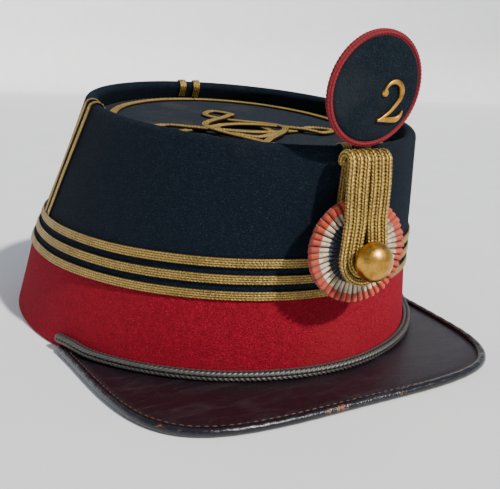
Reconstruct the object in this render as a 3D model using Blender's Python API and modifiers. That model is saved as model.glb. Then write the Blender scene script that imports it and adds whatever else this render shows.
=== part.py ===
"""A kepi: a stiff cloth cap with a red band, a dark blue crown that leans forward and a
square leather peak. Gold braid runs round and up the crown, and the front carries a
pleated cockade, a loop of gold cords, a ball button and an upright felt disc.

Blender metres, +Z up. The cap stands on z = 0 and its front faces -Y. Angles round the cap
start at the front and grow towards the wearer's left, +X.
"""

import math

import bmesh
import bpy
import numpy as np

MM = 0.001
GAP = 0.3 * MM

# The cap's body
BASE_HALF_LENGTH = 102.2 * MM
BASE_HALF_WIDTH = 86.1 * MM
FRONT_HEIGHT = 79.1 * MM
BACK_HEIGHT = 98.4 * MM
BAND_HEIGHT = 32.4 * MM
WALL = 2.4 * MM
RIM_FOLD = 4.4 * MM
TOP_SINK = 7.0 * MM
TOP_THICKNESS = 1.8 * MM
CROWN_TURN = math.radians(-5.0)
FRONT_PAIR_TURN = math.radians(1.0)
ROUND_STEPS = 60

# Each row is one section of the wall. Columns: height as a share of FRONT_HEIGHT, half length
# and forward lean as shares of BASE_HALF_LENGTH, half width as a share of BASE_HALF_WIDTH, and
# the share of the rim's slope that the section already has.
WALL_SECTIONS = (
    # height, half_length, half_width, forward, slope
    (0.000, 1.000, 1.000, 0.000, 0.0),
    (0.388, 0.948, 0.924, 0.065, 0.0),
    (0.578, 0.907, 0.867, 0.137, 0.0),
    (1.000, 0.731, 0.724, 0.357, 1.0),
)

# Gold braid
BRAID_WIDTH = 3.4 * MM
BRAID_THICKNESS = 0.9 * MM
BRAID_SPACING = 5.8 * MM
UPRIGHT_SPACING = 7.6 * MM
RING_SHARE = 0.87
RING_STEPS = 48

# The knot on top: a ring, and two bands laid across it that have a loop at each end.
KNOT_REACH = 40.0 * MM
KNOT_RING_RADIUS = 11.5 * MM
KNOT_BRAID_WIDTH = 2.6 * MM
KNOT_FORWARD = 4.5 * MM
KNOT_ASIDE = 2.0 * MM
KNOT_LIFT = 0.06 * MM
KNOT_RING_STEPS = 24
KNOT_STEPS = 3

# Half widths of the two bands at their middle, as shares of KNOT_REACH.
KNOT_SIDES = (0.42, 0.20)

# Each row is one point of a band's loop, as shares of KNOT_REACH.
KNOT_LOOP = (
    # out, across
    (0.57, 0.00),
    (0.80, -0.15),
    (1.00, 0.00),
    (0.80, 0.15),
    (0.57, 0.00),
)

# The peak
PEAK_HALF_WIDTH = 73.5 * MM
PEAK_REACH = 23.8 * MM
PEAK_SQUARENESS = 4.6
PEAK_END_ANGLE = math.radians(64.0)
PEAK_THICKNESS = 1.8 * MM
PEAK_RISE = 0.8 * MM
PEAK_EDGE_RADIUS = 1.35 * MM
PEAK_STEPS = 44

# The cord along the seam of the peak
SEAM_CORD_RADIUS = 1.3 * MM
SEAM_CORD_END_ANGLE = math.radians(67.5)

# The cockade, the button and the gold loop at the front
COCKADE_RADIUS = 17.0 * MM
COCKADE_HEIGHT = 49.4 * MM
COCKADE_THICKNESS = 2.9 * MM
COCKADE_STANDOFF = 3.8 * MM
COCKADE_YAW = math.radians(-5.0)
PLEATS = 44
PLEAT_DEPTH = 1.0 * MM
BUTTON_RADIUS = 6.4 * MM
BUTTON_DEPTH = 8.4 * MM
BUTTON_DROP = 1.8 * MM
SHANK_RADIUS = 0.6 * MM
LOOP_CORD_RADIUS = 1.25 * MM
LOOP_CORD_SPACING = 2.7 * MM
LOOP_INNER_RADIUS = 2.5 * MM
LOOP_WAIST_RISE = 12.0 * MM
LOOP_RISE = 2.4 * MM
LOOP_HOOK_DROP = 1.6 * MM

# The upright disc
DISC_HALF_WIDTH = 18.1 * MM
DISC_HALF_HEIGHT = 17.4 * MM
DISC_THICKNESS = 2.6 * MM
DISC_STANDOFF = 7.9 * MM
DISC_LEAN = math.radians(11.8)
DISC_YAW = math.radians(5.0)
PIPING_RADIUS = 1.1 * MM
STEM_WIDTH = 3.4 * MM
STEM_THICKNESS = 0.7 * MM
STEM_LENGTH = 20.0 * MM
STEM_SHIFT = 1.2 * MM

# The plain numeral two on the disc
NUMERAL_HEIGHT = 12.6 * MM
NUMERAL_THICKNESS = 0.8 * MM
NUMERAL_STROKE = 1.9 * MM
NUMERAL_SHIFT = (5.4 * MM, -3.0 * MM)


def wall_sizes(level):
    """Half length, half width, lean and slope of the wall's section at a level from 0 to 1."""
    table = np.array(WALL_SECTIONS).T
    half_length, half_width, forward, slope = (np.interp(level, table[0], row) for row in table[1:])
    return (
        half_length * BASE_HALF_LENGTH,
        half_width * BASE_HALF_WIDTH,
        forward * BASE_HALF_LENGTH,
        slope * (BACK_HEIGHT - FRONT_HEIGHT),
    )


def wall_outside(angle, level):
    half_length, half_width, forward, slope = wall_sizes(level)
    x = half_width * np.sin(angle)
    y = -half_length * np.cos(angle) - forward
    z = FRONT_HEIGHT * level + slope * (1 - np.cos(angle)) / 2
    return np.stack(np.broadcast_arrays(x, y, z), axis=-1)


def wall_normal(angle, level):
    step = 1e-4
    low, high = np.maximum(level - step, 0.0), np.minimum(level + step, 1.0)
    across = wall_outside(angle + step, level) - wall_outside(angle - step, level)
    up = wall_outside(angle, high) - wall_outside(angle, low)
    normal = np.cross(across, up)
    return normal / np.linalg.norm(normal, axis=-1, keepdims=True)


def on_wall(angle, level, out=0.0):
    """Points at a distance out from the wall's outer face."""
    return wall_outside(angle, level) + out * wall_normal(angle, level)


def inside_wall(angle, level):
    """Points on the wall's inner face, at the height of the outer face's points."""
    normal = wall_normal(angle, level)
    normal[..., 2] = 0.0
    return wall_outside(angle, level) - WALL * normal / np.sum(normal**2, axis=-1, keepdims=True)


def outward(angle):
    """The level direction that points away from the crown at an angle."""
    half_length, half_width, _, _ = wall_sizes(1.0)
    direction = np.stack(
        np.broadcast_arrays(np.sin(angle) / half_width, -np.cos(angle) / half_length, 0.0), axis=-1
    )
    return direction / np.linalg.norm(direction, axis=-1, keepdims=True)


def on_rim(angle, turn, out=0.0):
    """Points on the rim's fold: turn 0 is its outer side and turn 1 its inner side."""
    radius = RIM_FOLD / 2
    centre = on_wall(angle, 1.0, -radius)
    normal = wall_normal(angle, 1.0)
    start = np.arctan2(normal[..., 2], np.sum(normal * outward(angle), axis=-1))
    swing = (start + np.pi * turn)[..., None]
    direction = np.cos(swing) * outward(angle) + np.sin(swing) * np.array([0.0, 0.0, 1.0])
    return centre + (radius + out) * direction


def front_of_wall(height):
    """The y of the wall's foremost line at a height."""
    return float(wall_outside(0.0, height / FRONT_HEIGHT)[1])


def level_at_depth(angle, depth, inset):
    """The level where the wall, moved in by inset, lies this far below the rim's plane."""
    levels = np.linspace(0.6, 1.0, 41)
    points = on_wall(angle, levels, -inset)
    below = rim_plane(points[:, 1]) - depth - points[:, 2]
    return float(np.interp(0.0, below[::-1], levels[::-1]))


def rim_plane(y):
    half_length, _, forward, slope = wall_sizes(1.0)
    return FRONT_HEIGHT + slope * (y + forward + half_length) / (2 * half_length)


def around(steps):
    return np.linspace(0.0, 2 * np.pi, steps, endpoint=False)


def smooth_path(points, steps, closed=False):
    """Catmull-Rom curve through the points, with this many steps between neighbours."""
    points = np.asarray(points, float)
    if closed:
        padded = np.concatenate([points[-1:], points, points[:2]])
    else:
        padded = np.concatenate([2 * points[:1] - points[1:2], points, 2 * points[-1:] - points[-2:-1]])
    t = np.linspace(0.0, 1.0, steps, endpoint=False)[:, None]
    pieces = []
    for before, start, end, after in zip(padded, padded[1:], padded[2:], padded[3:]):
        pieces.append(
            0.5
            * (
                2 * start
                + (end - before) * t
                + (2 * before - 5 * start + 4 * end - after) * t**2
                + (3 * start - before - 3 * end + after) * t**3
            )
        )
    if not closed:
        pieces.append(points[-1:])
    return np.concatenate(pieces)


def evenly_along(points, count):
    """The same path with count points at equal distances."""
    lengths = np.concatenate([[0.0], np.cumsum(np.linalg.norm(np.diff(points, axis=0), axis=1))])
    places = np.linspace(0.0, lengths[-1], count)
    return np.stack([np.interp(places, lengths, column) for column in points.T], axis=-1)


def make_material(name, colour, roughness, metallic=0.0):
    material = bpy.data.materials.new(name)
    material.use_nodes = True
    shader = material.node_tree.nodes["Principled BSDF"]
    shader.inputs["Base Color"].default_value = (*colour, 1.0)
    shader.inputs["Roughness"].default_value = roughness
    shader.inputs["Metallic"].default_value = metallic
    return material


def link_object(name, data, material, parent, collection):
    part = bpy.data.objects.new(name, data)
    if material is not None:
        data.materials.append(material)
    part.parent = parent
    collection.objects.link(part)
    return part


def make_mesh(name, points, faces, smooth=True):
    mesh = bpy.data.meshes.new(name)
    mesh.from_pydata([tuple(map(float, point)) for point in points], [], faces)
    mesh.update()
    if smooth:
        mesh.shade_smooth()
        mesh.set_sharp_from_angle(angle=math.radians(40))
    return mesh


def grid_faces(rows, columns, wrap_columns=False, wrap_rows=False):
    """Quads of a grid whose rows run up and whose columns run across."""
    faces = []
    for i in range(rows if wrap_rows else rows - 1):
        for j in range(columns if wrap_columns else columns - 1):
            up, right = (i + 1) % rows, (j + 1) % columns
            faces.append((i * columns + j, i * columns + right, up * columns + right, up * columns + j))
    return faces


def add_solidify(part, thickness, outside):
    shell = part.modifiers.new("thickness", "SOLIDIFY")
    shell.thickness = thickness
    shell.offset = 1.0 if outside else -1.0
    shell.use_even_offset = True


def add_sheet(name, grid, thickness, material, parent, collection, closed=False, outside=True):
    """A shell that grows from a grid of rows and columns, on the side its normals face."""
    rows, columns = grid.shape[:2]
    faces = grid_faces(rows, columns, wrap_columns=closed)
    part = link_object(name, make_mesh(name, grid.reshape(-1, 3), faces), material, parent, collection)
    add_solidify(part, thickness, outside)
    return part


def add_tube(name, points, radius, material, parent, collection, closed=False, resolution=1):
    """A round cord along a path."""
    curve = bpy.data.curves.new(name, "CURVE")
    curve.dimensions = "3D"
    curve.bevel_depth = radius
    curve.bevel_resolution = resolution
    curve.use_fill_caps = not closed
    spline = curve.splines.new("POLY")
    spline.points.add(len(points) - 1)
    spline.points.foreach_set("co", np.column_stack([points, np.ones(len(points))]).ravel())
    spline.use_cyclic_u = closed
    return link_object(name, curve, material, parent, collection)


def add_outline(name, points, half_thickness, material, parent, collection):
    """A flat plate with the given outline in its own XY plane."""
    curve = bpy.data.curves.new(name, "CURVE")
    curve.dimensions = "2D"
    curve.fill_mode = "BOTH"
    curve.extrude = half_thickness
    spline = curve.splines.new("POLY")
    spline.points.add(len(points) - 1)
    flat = np.column_stack([points, np.zeros(len(points)), np.ones(len(points))])
    spline.points.foreach_set("co", flat.ravel())
    spline.use_cyclic_u = True
    return link_object(name, curve, material, parent, collection)


def add_turned(name, profile, steps, material, parent, collection):
    """A shape turned about its own Z from a profile of radius and height, top to bottom."""
    mesh = make_mesh(name, [(r, 0.0, z) for r, z in profile], [], smooth=False)
    mesh.edges.add(len(profile) - 1)
    mesh.edges.foreach_set("vertices", [k for i in range(len(profile) - 1) for k in (i, i + 1)])
    part = link_object(name, mesh, material, parent, collection)
    turn = part.modifiers.new("turn", "SCREW")
    turn.steps = turn.render_steps = steps
    turn.use_merge_vertices = True
    turn.merge_threshold = 0.00001
    turn.use_smooth_shade = True
    return part


def add_band(parent, collection, material):
    """The red cloth band, from the edge that rests on the head to the seam."""
    top = (BAND_HEIGHT - GAP / 2) / FRONT_HEIGHT
    bend = WALL_SECTIONS[1][0]
    levels = [0.0, min(bend, top - 0.01), top]
    angles = around(ROUND_STEPS)
    rings = [wall_outside(angles, level) for level in levels]
    rings += [inside_wall(angles, level) for level in levels[::-1]]
    faces = grid_faces(len(rings), ROUND_STEPS, wrap_columns=True, wrap_rows=True)
    link_object("band", make_mesh("band", np.concatenate(rings), faces), material, parent, collection)


def add_crown_wall(parent, collection, material):
    """The blue wall: up from the seam, over the rim and down inside as far as the top's edge."""
    angles = around(ROUND_STEPS)
    seam = (BAND_HEIGHT + GAP / 2) / FRONT_HEIGHT
    bends = [row[0] for row in WALL_SECTIONS if row[0] > seam + 0.02]
    levels = [seam, bends[0], (bends[0] + 1.0) / 2]
    fold_end = [level_at_depth(a, TOP_SINK + TOP_THICKNESS + GAP, RIM_FOLD) for a in angles]
    inner_end = [level_at_depth(a, TOP_SINK + TOP_THICKNESS + RIM_FOLD, WALL) for a in angles]
    rings = [on_wall(angles, level) for level in levels]
    rings += [on_rim(angles, turn) for turn in (0.0, 0.25, 0.5, 0.75, 1.0)]
    rings.append(np.stack([on_wall(a, level, -RIM_FOLD) for a, level in zip(angles, fold_end)]))
    rings.append(np.stack([on_wall(a, level, -WALL) for a, level in zip(angles, inner_end)]))
    rings += [inside_wall(angles, level) for level in levels[1::-1]]
    faces = grid_faces(len(rings), ROUND_STEPS, wrap_columns=True, wrap_rows=True)
    mesh = make_mesh("crown_wall", np.concatenate(rings), faces)
    link_object("crown_wall", mesh, material, parent, collection)


def top_edge(angle, share=1.0):
    """Plan points on the sunken top, as a share of the way from its middle to its edge."""
    edge = []
    for a in np.atleast_1d(angle):
        level = level_at_depth(a, TOP_SINK, RIM_FOLD)
        edge.append(on_wall(a, level, -RIM_FOLD) - GAP * outward(a))
    edge = np.array(edge)
    middle = np.array([0.0, -wall_sizes(1.0)[2], 0.0])
    plan = middle + share * (edge - middle)
    return plan[:, :2]


def on_top(plan, lift=0.0):
    """The sunken top's surface above plan points."""
    return np.column_stack([plan, rim_plane(plan[:, 1]) - TOP_SINK + lift])


def add_crown_top(parent, collection, material):
    """The flat top, sunk below the rim and sewn to the inside of its fold."""
    rings = [on_top(top_edge(around(ROUND_STEPS), share)) for share in (1.0, 0.5)]
    middle = on_top(np.array([[0.0, -wall_sizes(1.0)[2]]]))
    faces = grid_faces(2, ROUND_STEPS, wrap_columns=True)
    inner_ring = np.arange(ROUND_STEPS, 2 * ROUND_STEPS)
    faces += [(a, b, 2 * ROUND_STEPS) for a, b in zip(inner_ring, np.roll(inner_ring, -1))]
    mesh = make_mesh("crown_top", np.concatenate(rings + [middle]), faces)
    part = link_object("crown_top", mesh, material, parent, collection)
    add_solidify(part, TOP_THICKNESS, outside=False)


def braid_bottom(row):
    """Height of a braid's lower edge: row 0 covers the seam between band and crown."""
    return BAND_HEIGHT - BRAID_WIDTH / 2 + row * BRAID_SPACING


def add_level_braids(parent, collection, material):
    """Three gold braids round the cap, the lowest one over the seam."""
    angles = around(ROUND_STEPS)
    for row, name in enumerate(("braid_low", "braid_middle", "braid_high")):
        heights = (braid_bottom(row), braid_bottom(row) + BRAID_WIDTH)
        grid = np.stack([on_wall(angles, height / FRONT_HEIGHT, GAP) for height in heights])
        add_sheet(name, grid, BRAID_THICKNESS, material, parent, collection, closed=True)


def upright_rail(angle, offset):
    """One long edge of an upright braid, at a distance across from the line at an angle."""
    start = (braid_bottom(2) + BRAID_WIDTH + GAP) / FRONT_HEIGHT
    rail = []
    for level in np.linspace(start, 1.0, 4):
        speed = np.linalg.norm(wall_outside(angle + 0.01, level) - wall_outside(angle - 0.01, level)) / 0.02
        turned = angle + offset / speed
        if level < 1.0:
            rail.append(on_wall(turned, level, GAP))
    rail += [on_rim(turned, turn, GAP) for turn in (0.0, 0.25, 0.5, 0.75, 1.0)]
    end = level_at_depth(turned, TOP_SINK - BRAID_THICKNESS - GAP, RIM_FOLD + GAP)
    rail.append(on_wall(turned, end, -RIM_FOLD - GAP))
    return np.array(rail)


def add_upright_braids(parent, collection, material):
    """Pairs of gold braids up the front, the back and both sides, over the rim and in."""
    angles = {"front": FRONT_PAIR_TURN}
    for side, quarter in (("left", 0.5), ("back", 1.0), ("right", -0.5)):
        angles[side] = quarter * np.pi + CROWN_TURN
    for side, angle in angles.items():
        for number, across in ((1, -1), (2, 1)):
            middle = across * UPRIGHT_SPACING / 2
            rails = [upright_rail(angle, middle + edge * BRAID_WIDTH / 2) for edge in (1, -1)]
            grid = np.stack(rails)
            add_sheet(f"upright_{side}_{number}", grid, BRAID_THICKNESS, material, parent, collection)


def flat_braid(path, width, bottom, closed=False):
    """Two rails either side of a plan path, as a grid on the top's surface."""
    path = np.asarray(path)
    if closed:
        along = np.roll(path, -1, axis=0) - np.roll(path, 1, axis=0)
    else:
        along = np.gradient(path, axis=0)
    along /= np.linalg.norm(along, axis=1, keepdims=True)
    left = np.column_stack([-along[:, 1], along[:, 0]])
    return np.stack([on_top(path - left * width / 2, bottom), on_top(path + left * width / 2, bottom)])


def add_top_ring(parent, collection, material):
    """The gold braid laid round the top, inside the rim."""
    path = top_edge(around(RING_STEPS), RING_SHARE)
    grid = flat_braid(path, BRAID_WIDTH, GAP, closed=True)
    add_sheet("top_ring", grid, BRAID_THICKNESS, material, parent, collection, closed=True)


def knot_middle():
    """Plan point of the knot's middle, a little forward of the top's and to the right."""
    return np.array([-KNOT_ASIDE, -wall_sizes(1.0)[2] - KNOT_FORWARD])


def knot_path(quarter, half_width):
    """Plan points of one of the knot's two crossed bands, which has a loop at each end."""
    points = []
    for turn in (quarter * np.pi / 2, (quarter + 2) * np.pi / 2):
        ahead = np.array([np.sin(turn + CROWN_TURN), -np.cos(turn + CROWN_TURN)])
        aside = np.array([-ahead[1], ahead[0]])
        points += [out * ahead + across * aside for out, across in KNOT_LOOP]
        points.append(-half_width * aside)
    return knot_middle() + KNOT_REACH * np.array(points)


def add_top_knot(parent, collection, material, helpers):
    """The interlaced knot in flat braid: a ring, and two bands with loops laid across it."""
    angles = around(KNOT_RING_STEPS)
    circle = knot_middle() + KNOT_RING_RADIUS * np.column_stack([np.sin(angles), -np.cos(angles)])
    grid = flat_braid(circle, KNOT_BRAID_WIDTH, GAP, closed=True)
    knot = add_sheet("top_knot", grid, BRAID_THICKNESS, material, parent, collection, closed=True)
    strands = bpy.data.collections.new("knot_strands")
    helpers.children.link(strands)
    tip = KNOT_STEPS * (len(KNOT_LOOP) // 2)
    lift = GAP
    for quarter, half_width in enumerate(KNOT_SIDES):
        band = smooth_path(knot_path(quarter, half_width), KNOT_STEPS, closed=True)
        half = len(band) // 2
        for number in (1, 2):
            lift += KNOT_LIFT
            index = np.arange(tip + number * half, tip + (number + 1) * half + 2) % len(band)
            grid = flat_braid(band[index], KNOT_BRAID_WIDTH, lift)
            name = f"knot_strand_{quarter + 1}_{number}"
            strand = add_sheet(name, grid, BRAID_THICKNESS, None, parent, strands)
            strand.hide_render = True
            strand.display_type = "WIRE"
    join = knot.modifiers.new("join", "BOOLEAN")
    join.operation = "UNION"
    join.operand_type = "COLLECTION"
    join.collection = strands


def peak_outline():
    """The middle of the peak's edge in plan, from the wearer's right end round to the left."""
    root = -BASE_HALF_LENGTH * np.cos(PEAK_END_ANGLE)
    depth = BASE_HALF_LENGTH + PEAK_REACH + root
    end = np.array([BASE_HALF_WIDTH * np.sin(PEAK_END_ANGLE), root])
    clear = (GAP + PEAK_EDGE_RADIUS) / np.sin(PEAK_END_ANGLE)
    flare = (end[0] + clear) / PEAK_HALF_WIDTH - 1
    swing = np.linspace(-np.pi / 2, np.pi / 2, 721)
    power = 2 / PEAK_SQUARENESS
    ahead = np.abs(np.cos(swing)) ** power
    aside = np.sign(swing) * np.abs(np.sin(swing)) ** power
    x = PEAK_HALF_WIDTH * aside * (1 + flare * (1 - ahead) ** 2)
    y = root - depth * ahead
    return np.column_stack([x, y])


def add_peak(parent, collection, material):
    """The stiff leather peak, a flat plate that rises a little towards the band."""
    edge = evenly_along(peak_outline(), PEAK_STEPS)
    along = np.gradient(edge, axis=0)
    along /= np.linalg.norm(along, axis=1, keepdims=True)
    inward = np.column_stack([-along[:, 1], along[:, 0]])
    outer = edge + inward * (PEAK_EDGE_RADIUS + GAP)
    angle = np.arctan2(outer[:, 0] / BASE_HALF_WIDTH, -outer[:, 1] / BASE_HALF_LENGTH)
    inner = on_wall(angle, 0.0, GAP)[:, :2]
    share = np.sum((outer - inner) * np.column_stack([np.sin(angle), -np.cos(angle)]), axis=1)
    wide = share > 1.2 * MM
    outer, inner = outer[wide], inner[wide]
    low = 2 * PEAK_EDGE_RADIUS - PEAK_RISE
    rows = [(0.0, 0.0), (0.5, 0.6), (1.0, 1.0)]
    lines = []
    for inward_share, rise in rows:
        plan = outer + (inner - outer) * inward_share
        lines.append(np.column_stack([plan, np.full(len(plan), low + PEAK_RISE * rise)]))
    grid = np.stack(lines)
    add_sheet("peak", grid, PEAK_THICKNESS, material, parent, collection, outside=False)


def add_peak_edge(parent, collection, material):
    """The rolled leather binding round the peak's free edge."""
    path = evenly_along(peak_outline(), PEAK_STEPS)
    path = np.column_stack([path, np.full(len(path), PEAK_EDGE_RADIUS)])
    add_tube("peak_edge", path, PEAK_EDGE_RADIUS, material, parent, collection, resolution=2)


def add_seam_cord(parent, collection, material):
    """The plaited cord sewn over the seam of peak and band."""
    height = 2 * PEAK_EDGE_RADIUS + GAP / 2 + SEAM_CORD_RADIUS
    angles = np.linspace(-SEAM_CORD_END_ANGLE, SEAM_CORD_END_ANGLE, 46)
    path = on_wall(angles, height / FRONT_HEIGHT, GAP + SEAM_CORD_RADIUS)
    add_tube("seam_cord", path, SEAM_CORD_RADIUS, material, parent, collection)


def cockade_back():
    """The y of the cockade's back, clear of the wall and its braid behind the top edge."""
    top = COCKADE_HEIGHT + COCKADE_RADIUS
    return front_of_wall(min(top, FRONT_HEIGHT)) - BRAID_THICKNESS - COCKADE_STANDOFF


def loop_front():
    """The y of the middle of the gold cords where they hang in front of the turned cockade."""
    half_width = LOOP_INNER_RADIUS + 2 * LOOP_CORD_SPACING + LOOP_CORD_RADIUS
    turned = half_width * math.tan(abs(COCKADE_YAW))
    return cockade_back() - COCKADE_THICKNESS - turned - GAP - LOOP_CORD_RADIUS


def button_back():
    return loop_front() - LOOP_CORD_RADIUS - GAP


def shank_height():
    return COCKADE_HEIGHT - BUTTON_DROP


def place_upright(part, height, y, lean=0.0, yaw=0.0):
    """Stand a part so that its own Z faces forward and its own Y faces up."""
    part.location = (0.0, y, height)
    part.rotation_euler = (math.pi / 2 + lean, 0.0, yaw)


def add_cockade(parent, collection, material):
    """A ribbon pleated into a disc, with a hole for the button's shank."""
    angles = around(2 * PLEATS)
    ridge = (np.arange(2 * PLEATS) % 2)[:, None] * PLEAT_DEPTH
    spokes = np.column_stack([np.cos(angles), np.sin(angles)])
    hole = SHANK_RADIUS + GAP
    hole_centre = np.array([0.0, shank_height() - COCKADE_HEIGHT])

    def ring(centre, radius, height):
        return np.column_stack([centre + radius * spokes, np.broadcast_to(height, (2 * PLEATS, 1))])

    front = COCKADE_THICKNESS
    rings = [
        ring(0.0, COCKADE_RADIUS, 0.0),
        ring(0.0, COCKADE_RADIUS, front - ridge),
        ring(0.0, COCKADE_RADIUS * 0.3, front - ridge * 0.5),
        ring(hole_centre, hole, front - PLEAT_DEPTH / 2),
        ring(hole_centre, hole, 0.0),
    ]
    faces = grid_faces(len(rings), 2 * PLEATS, wrap_columns=True, wrap_rows=True)
    mesh = make_mesh("cockade", np.concatenate(rings), faces, smooth=False)
    part = link_object("cockade", mesh, material, parent, collection)
    place_upright(part, COCKADE_HEIGHT, cockade_back(), yaw=COCKADE_YAW)


def add_button(parent, collection, material):
    """The domed button, with its shank through the loop and the cockade to the wall."""
    widest = 0.4 * BUTTON_DEPTH
    turns = np.linspace(0.0, np.pi / 2, 7)
    profile = [
        (BUTTON_RADIUS * math.sin(t), widest + (BUTTON_DEPTH - widest) * math.cos(t)) for t in turns
    ]
    profile[0] = (0.0, BUTTON_DEPTH)
    turns = np.linspace(np.pi / 2, 0.8 * np.pi, 4)[1:]
    depth = widest / math.cos(0.2 * np.pi)
    profile += [(BUTTON_RADIUS * math.sin(t), widest + depth * math.cos(t)) for t in turns]
    profile[-1] = (profile[-1][0], 0.0)
    length = front_of_wall(shank_height()) - button_back() - GAP
    profile += [
        (SHANK_RADIUS, 0.0),
        (SHANK_RADIUS, -length),
        (0.0, -length),
    ]
    part = add_turned("button", profile, 20, material, parent, collection)
    place_upright(part, shank_height(), button_back())


def loop_path(radius):
    """One gold cord: hooked over behind the top, down, round the shank and up again."""
    front = loop_front()
    back = front_of_wall(FRONT_HEIGHT) - BRAID_THICKNESS - 2 * GAP - LOOP_CORD_RADIUS
    hook = (back - front) / 2
    top = FRONT_HEIGHT + LOOP_RISE - LOOP_CORD_RADIUS - hook
    turn_height = shank_height()
    waist = turn_height + LOOP_WAIST_RISE
    index = (radius - LOOP_INNER_RADIUS) / LOOP_CORD_SPACING
    close = LOOP_CORD_SPACING * (index + 0.5)
    arc = np.linspace(0.0, np.pi, 7)
    side = [(close, back, top - LOOP_HOOK_DROP)]
    side += [(close, back - hook + hook * math.cos(a), top + hook * math.sin(a)) for a in arc]
    for share in (0.35, 0.7, 1.0):
        side.append((close, front, top + share * (waist - top)))
    side.append(((close + radius) / 2, front, (waist + turn_height) / 2))
    side = np.array(side)
    bend = np.linspace(0.0, np.pi, 9)
    low = np.column_stack(
        [radius * np.cos(bend), np.full(len(bend), front), turn_height - radius * np.sin(bend)]
    )
    mirrored = side[::-1] * np.array([-1.0, 1.0, 1.0])
    return np.concatenate([side, low, mirrored])


def add_gold_loop(parent, collection, material):
    """Three nested cords in a loop, held by the button."""
    for index, name in enumerate(("loop_cord_inner", "loop_cord_middle", "loop_cord_outer")):
        path = loop_path(LOOP_INNER_RADIUS + index * LOOP_CORD_SPACING)
        add_tube(name, path, LOOP_CORD_RADIUS, material, parent, collection)


def disc_centre():
    """The y and z of the disc's middle: its lower edge just clears the top of the loop."""
    y = front_of_wall(FRONT_HEIGHT) - DISC_STANDOFF
    z = FRONT_HEIGHT + LOOP_RISE + GAP + DISC_HALF_HEIGHT * math.cos(DISC_LEAN)
    return y, z


def oval(half_width, half_height, steps):
    angles = around(steps)
    return np.column_stack([half_width * np.cos(angles), half_height * np.sin(angles)])


def add_disc(frame, collection, felt, piping):
    """The felt disc with its red piping."""
    inset = 2 * PIPING_RADIUS + GAP
    face = oval(DISC_HALF_WIDTH - inset, DISC_HALF_HEIGHT - inset, 40)
    add_outline("disc", face, DISC_THICKNESS / 2, felt, frame, collection)
    ring = oval(DISC_HALF_WIDTH - PIPING_RADIUS, DISC_HALF_HEIGHT - PIPING_RADIUS, 40)
    ring = np.column_stack([ring, np.zeros(len(ring))])
    add_tube("disc_piping", ring, PIPING_RADIUS, piping, frame, collection, closed=True)


def add_disc_stem(parent, collection, material):
    """The flat strip that carries the disc, down its back and along the front of the wall."""
    centre_y, centre_z = disc_centre()
    swung_back = (abs(STEM_SHIFT) + STEM_WIDTH / 2) * math.sin(abs(DISC_YAW))
    behind = DISC_THICKNESS / 2 + GAP + swung_back
    path = []
    for share in (0.4, 0.8):
        down = share * DISC_HALF_HEIGHT
        y = centre_y + down * math.sin(DISC_LEAN) + behind * math.cos(DISC_LEAN)
        z = centre_z - down * math.cos(DISC_LEAN) + behind * math.sin(DISC_LEAN)
        path.append((y, z))
    for height in (FRONT_HEIGHT + RIM_FOLD / 2 - GAP, FRONT_HEIGHT - RIM_FOLD, FRONT_HEIGHT - STEM_LENGTH):
        level = min(height / FRONT_HEIGHT, 1.0)
        _, y, z = on_wall(0.0, level, GAP + STEM_THICKNESS)
        path.append((y, z if level < 1.0 else height))
    rails = [
        np.array([(STEM_SHIFT + side * STEM_WIDTH / 2, y, z) for y, z in path]) for side in (-1, 1)
    ]
    add_sheet("disc_stem", np.stack(rails), STEM_THICKNESS, material, parent, collection, outside=False)


def numeral_path():
    """The middle of the numeral's bowl and slanting stroke, in shares of its height."""
    angles = np.radians(np.linspace(165, -35, 9))
    bowl = np.column_stack([0.29 * np.cos(angles), 0.16 + 0.29 * np.sin(angles)])
    return np.concatenate([bowl, [(0.02, -0.24), (-0.24, -0.46)]]) * NUMERAL_HEIGHT


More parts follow.
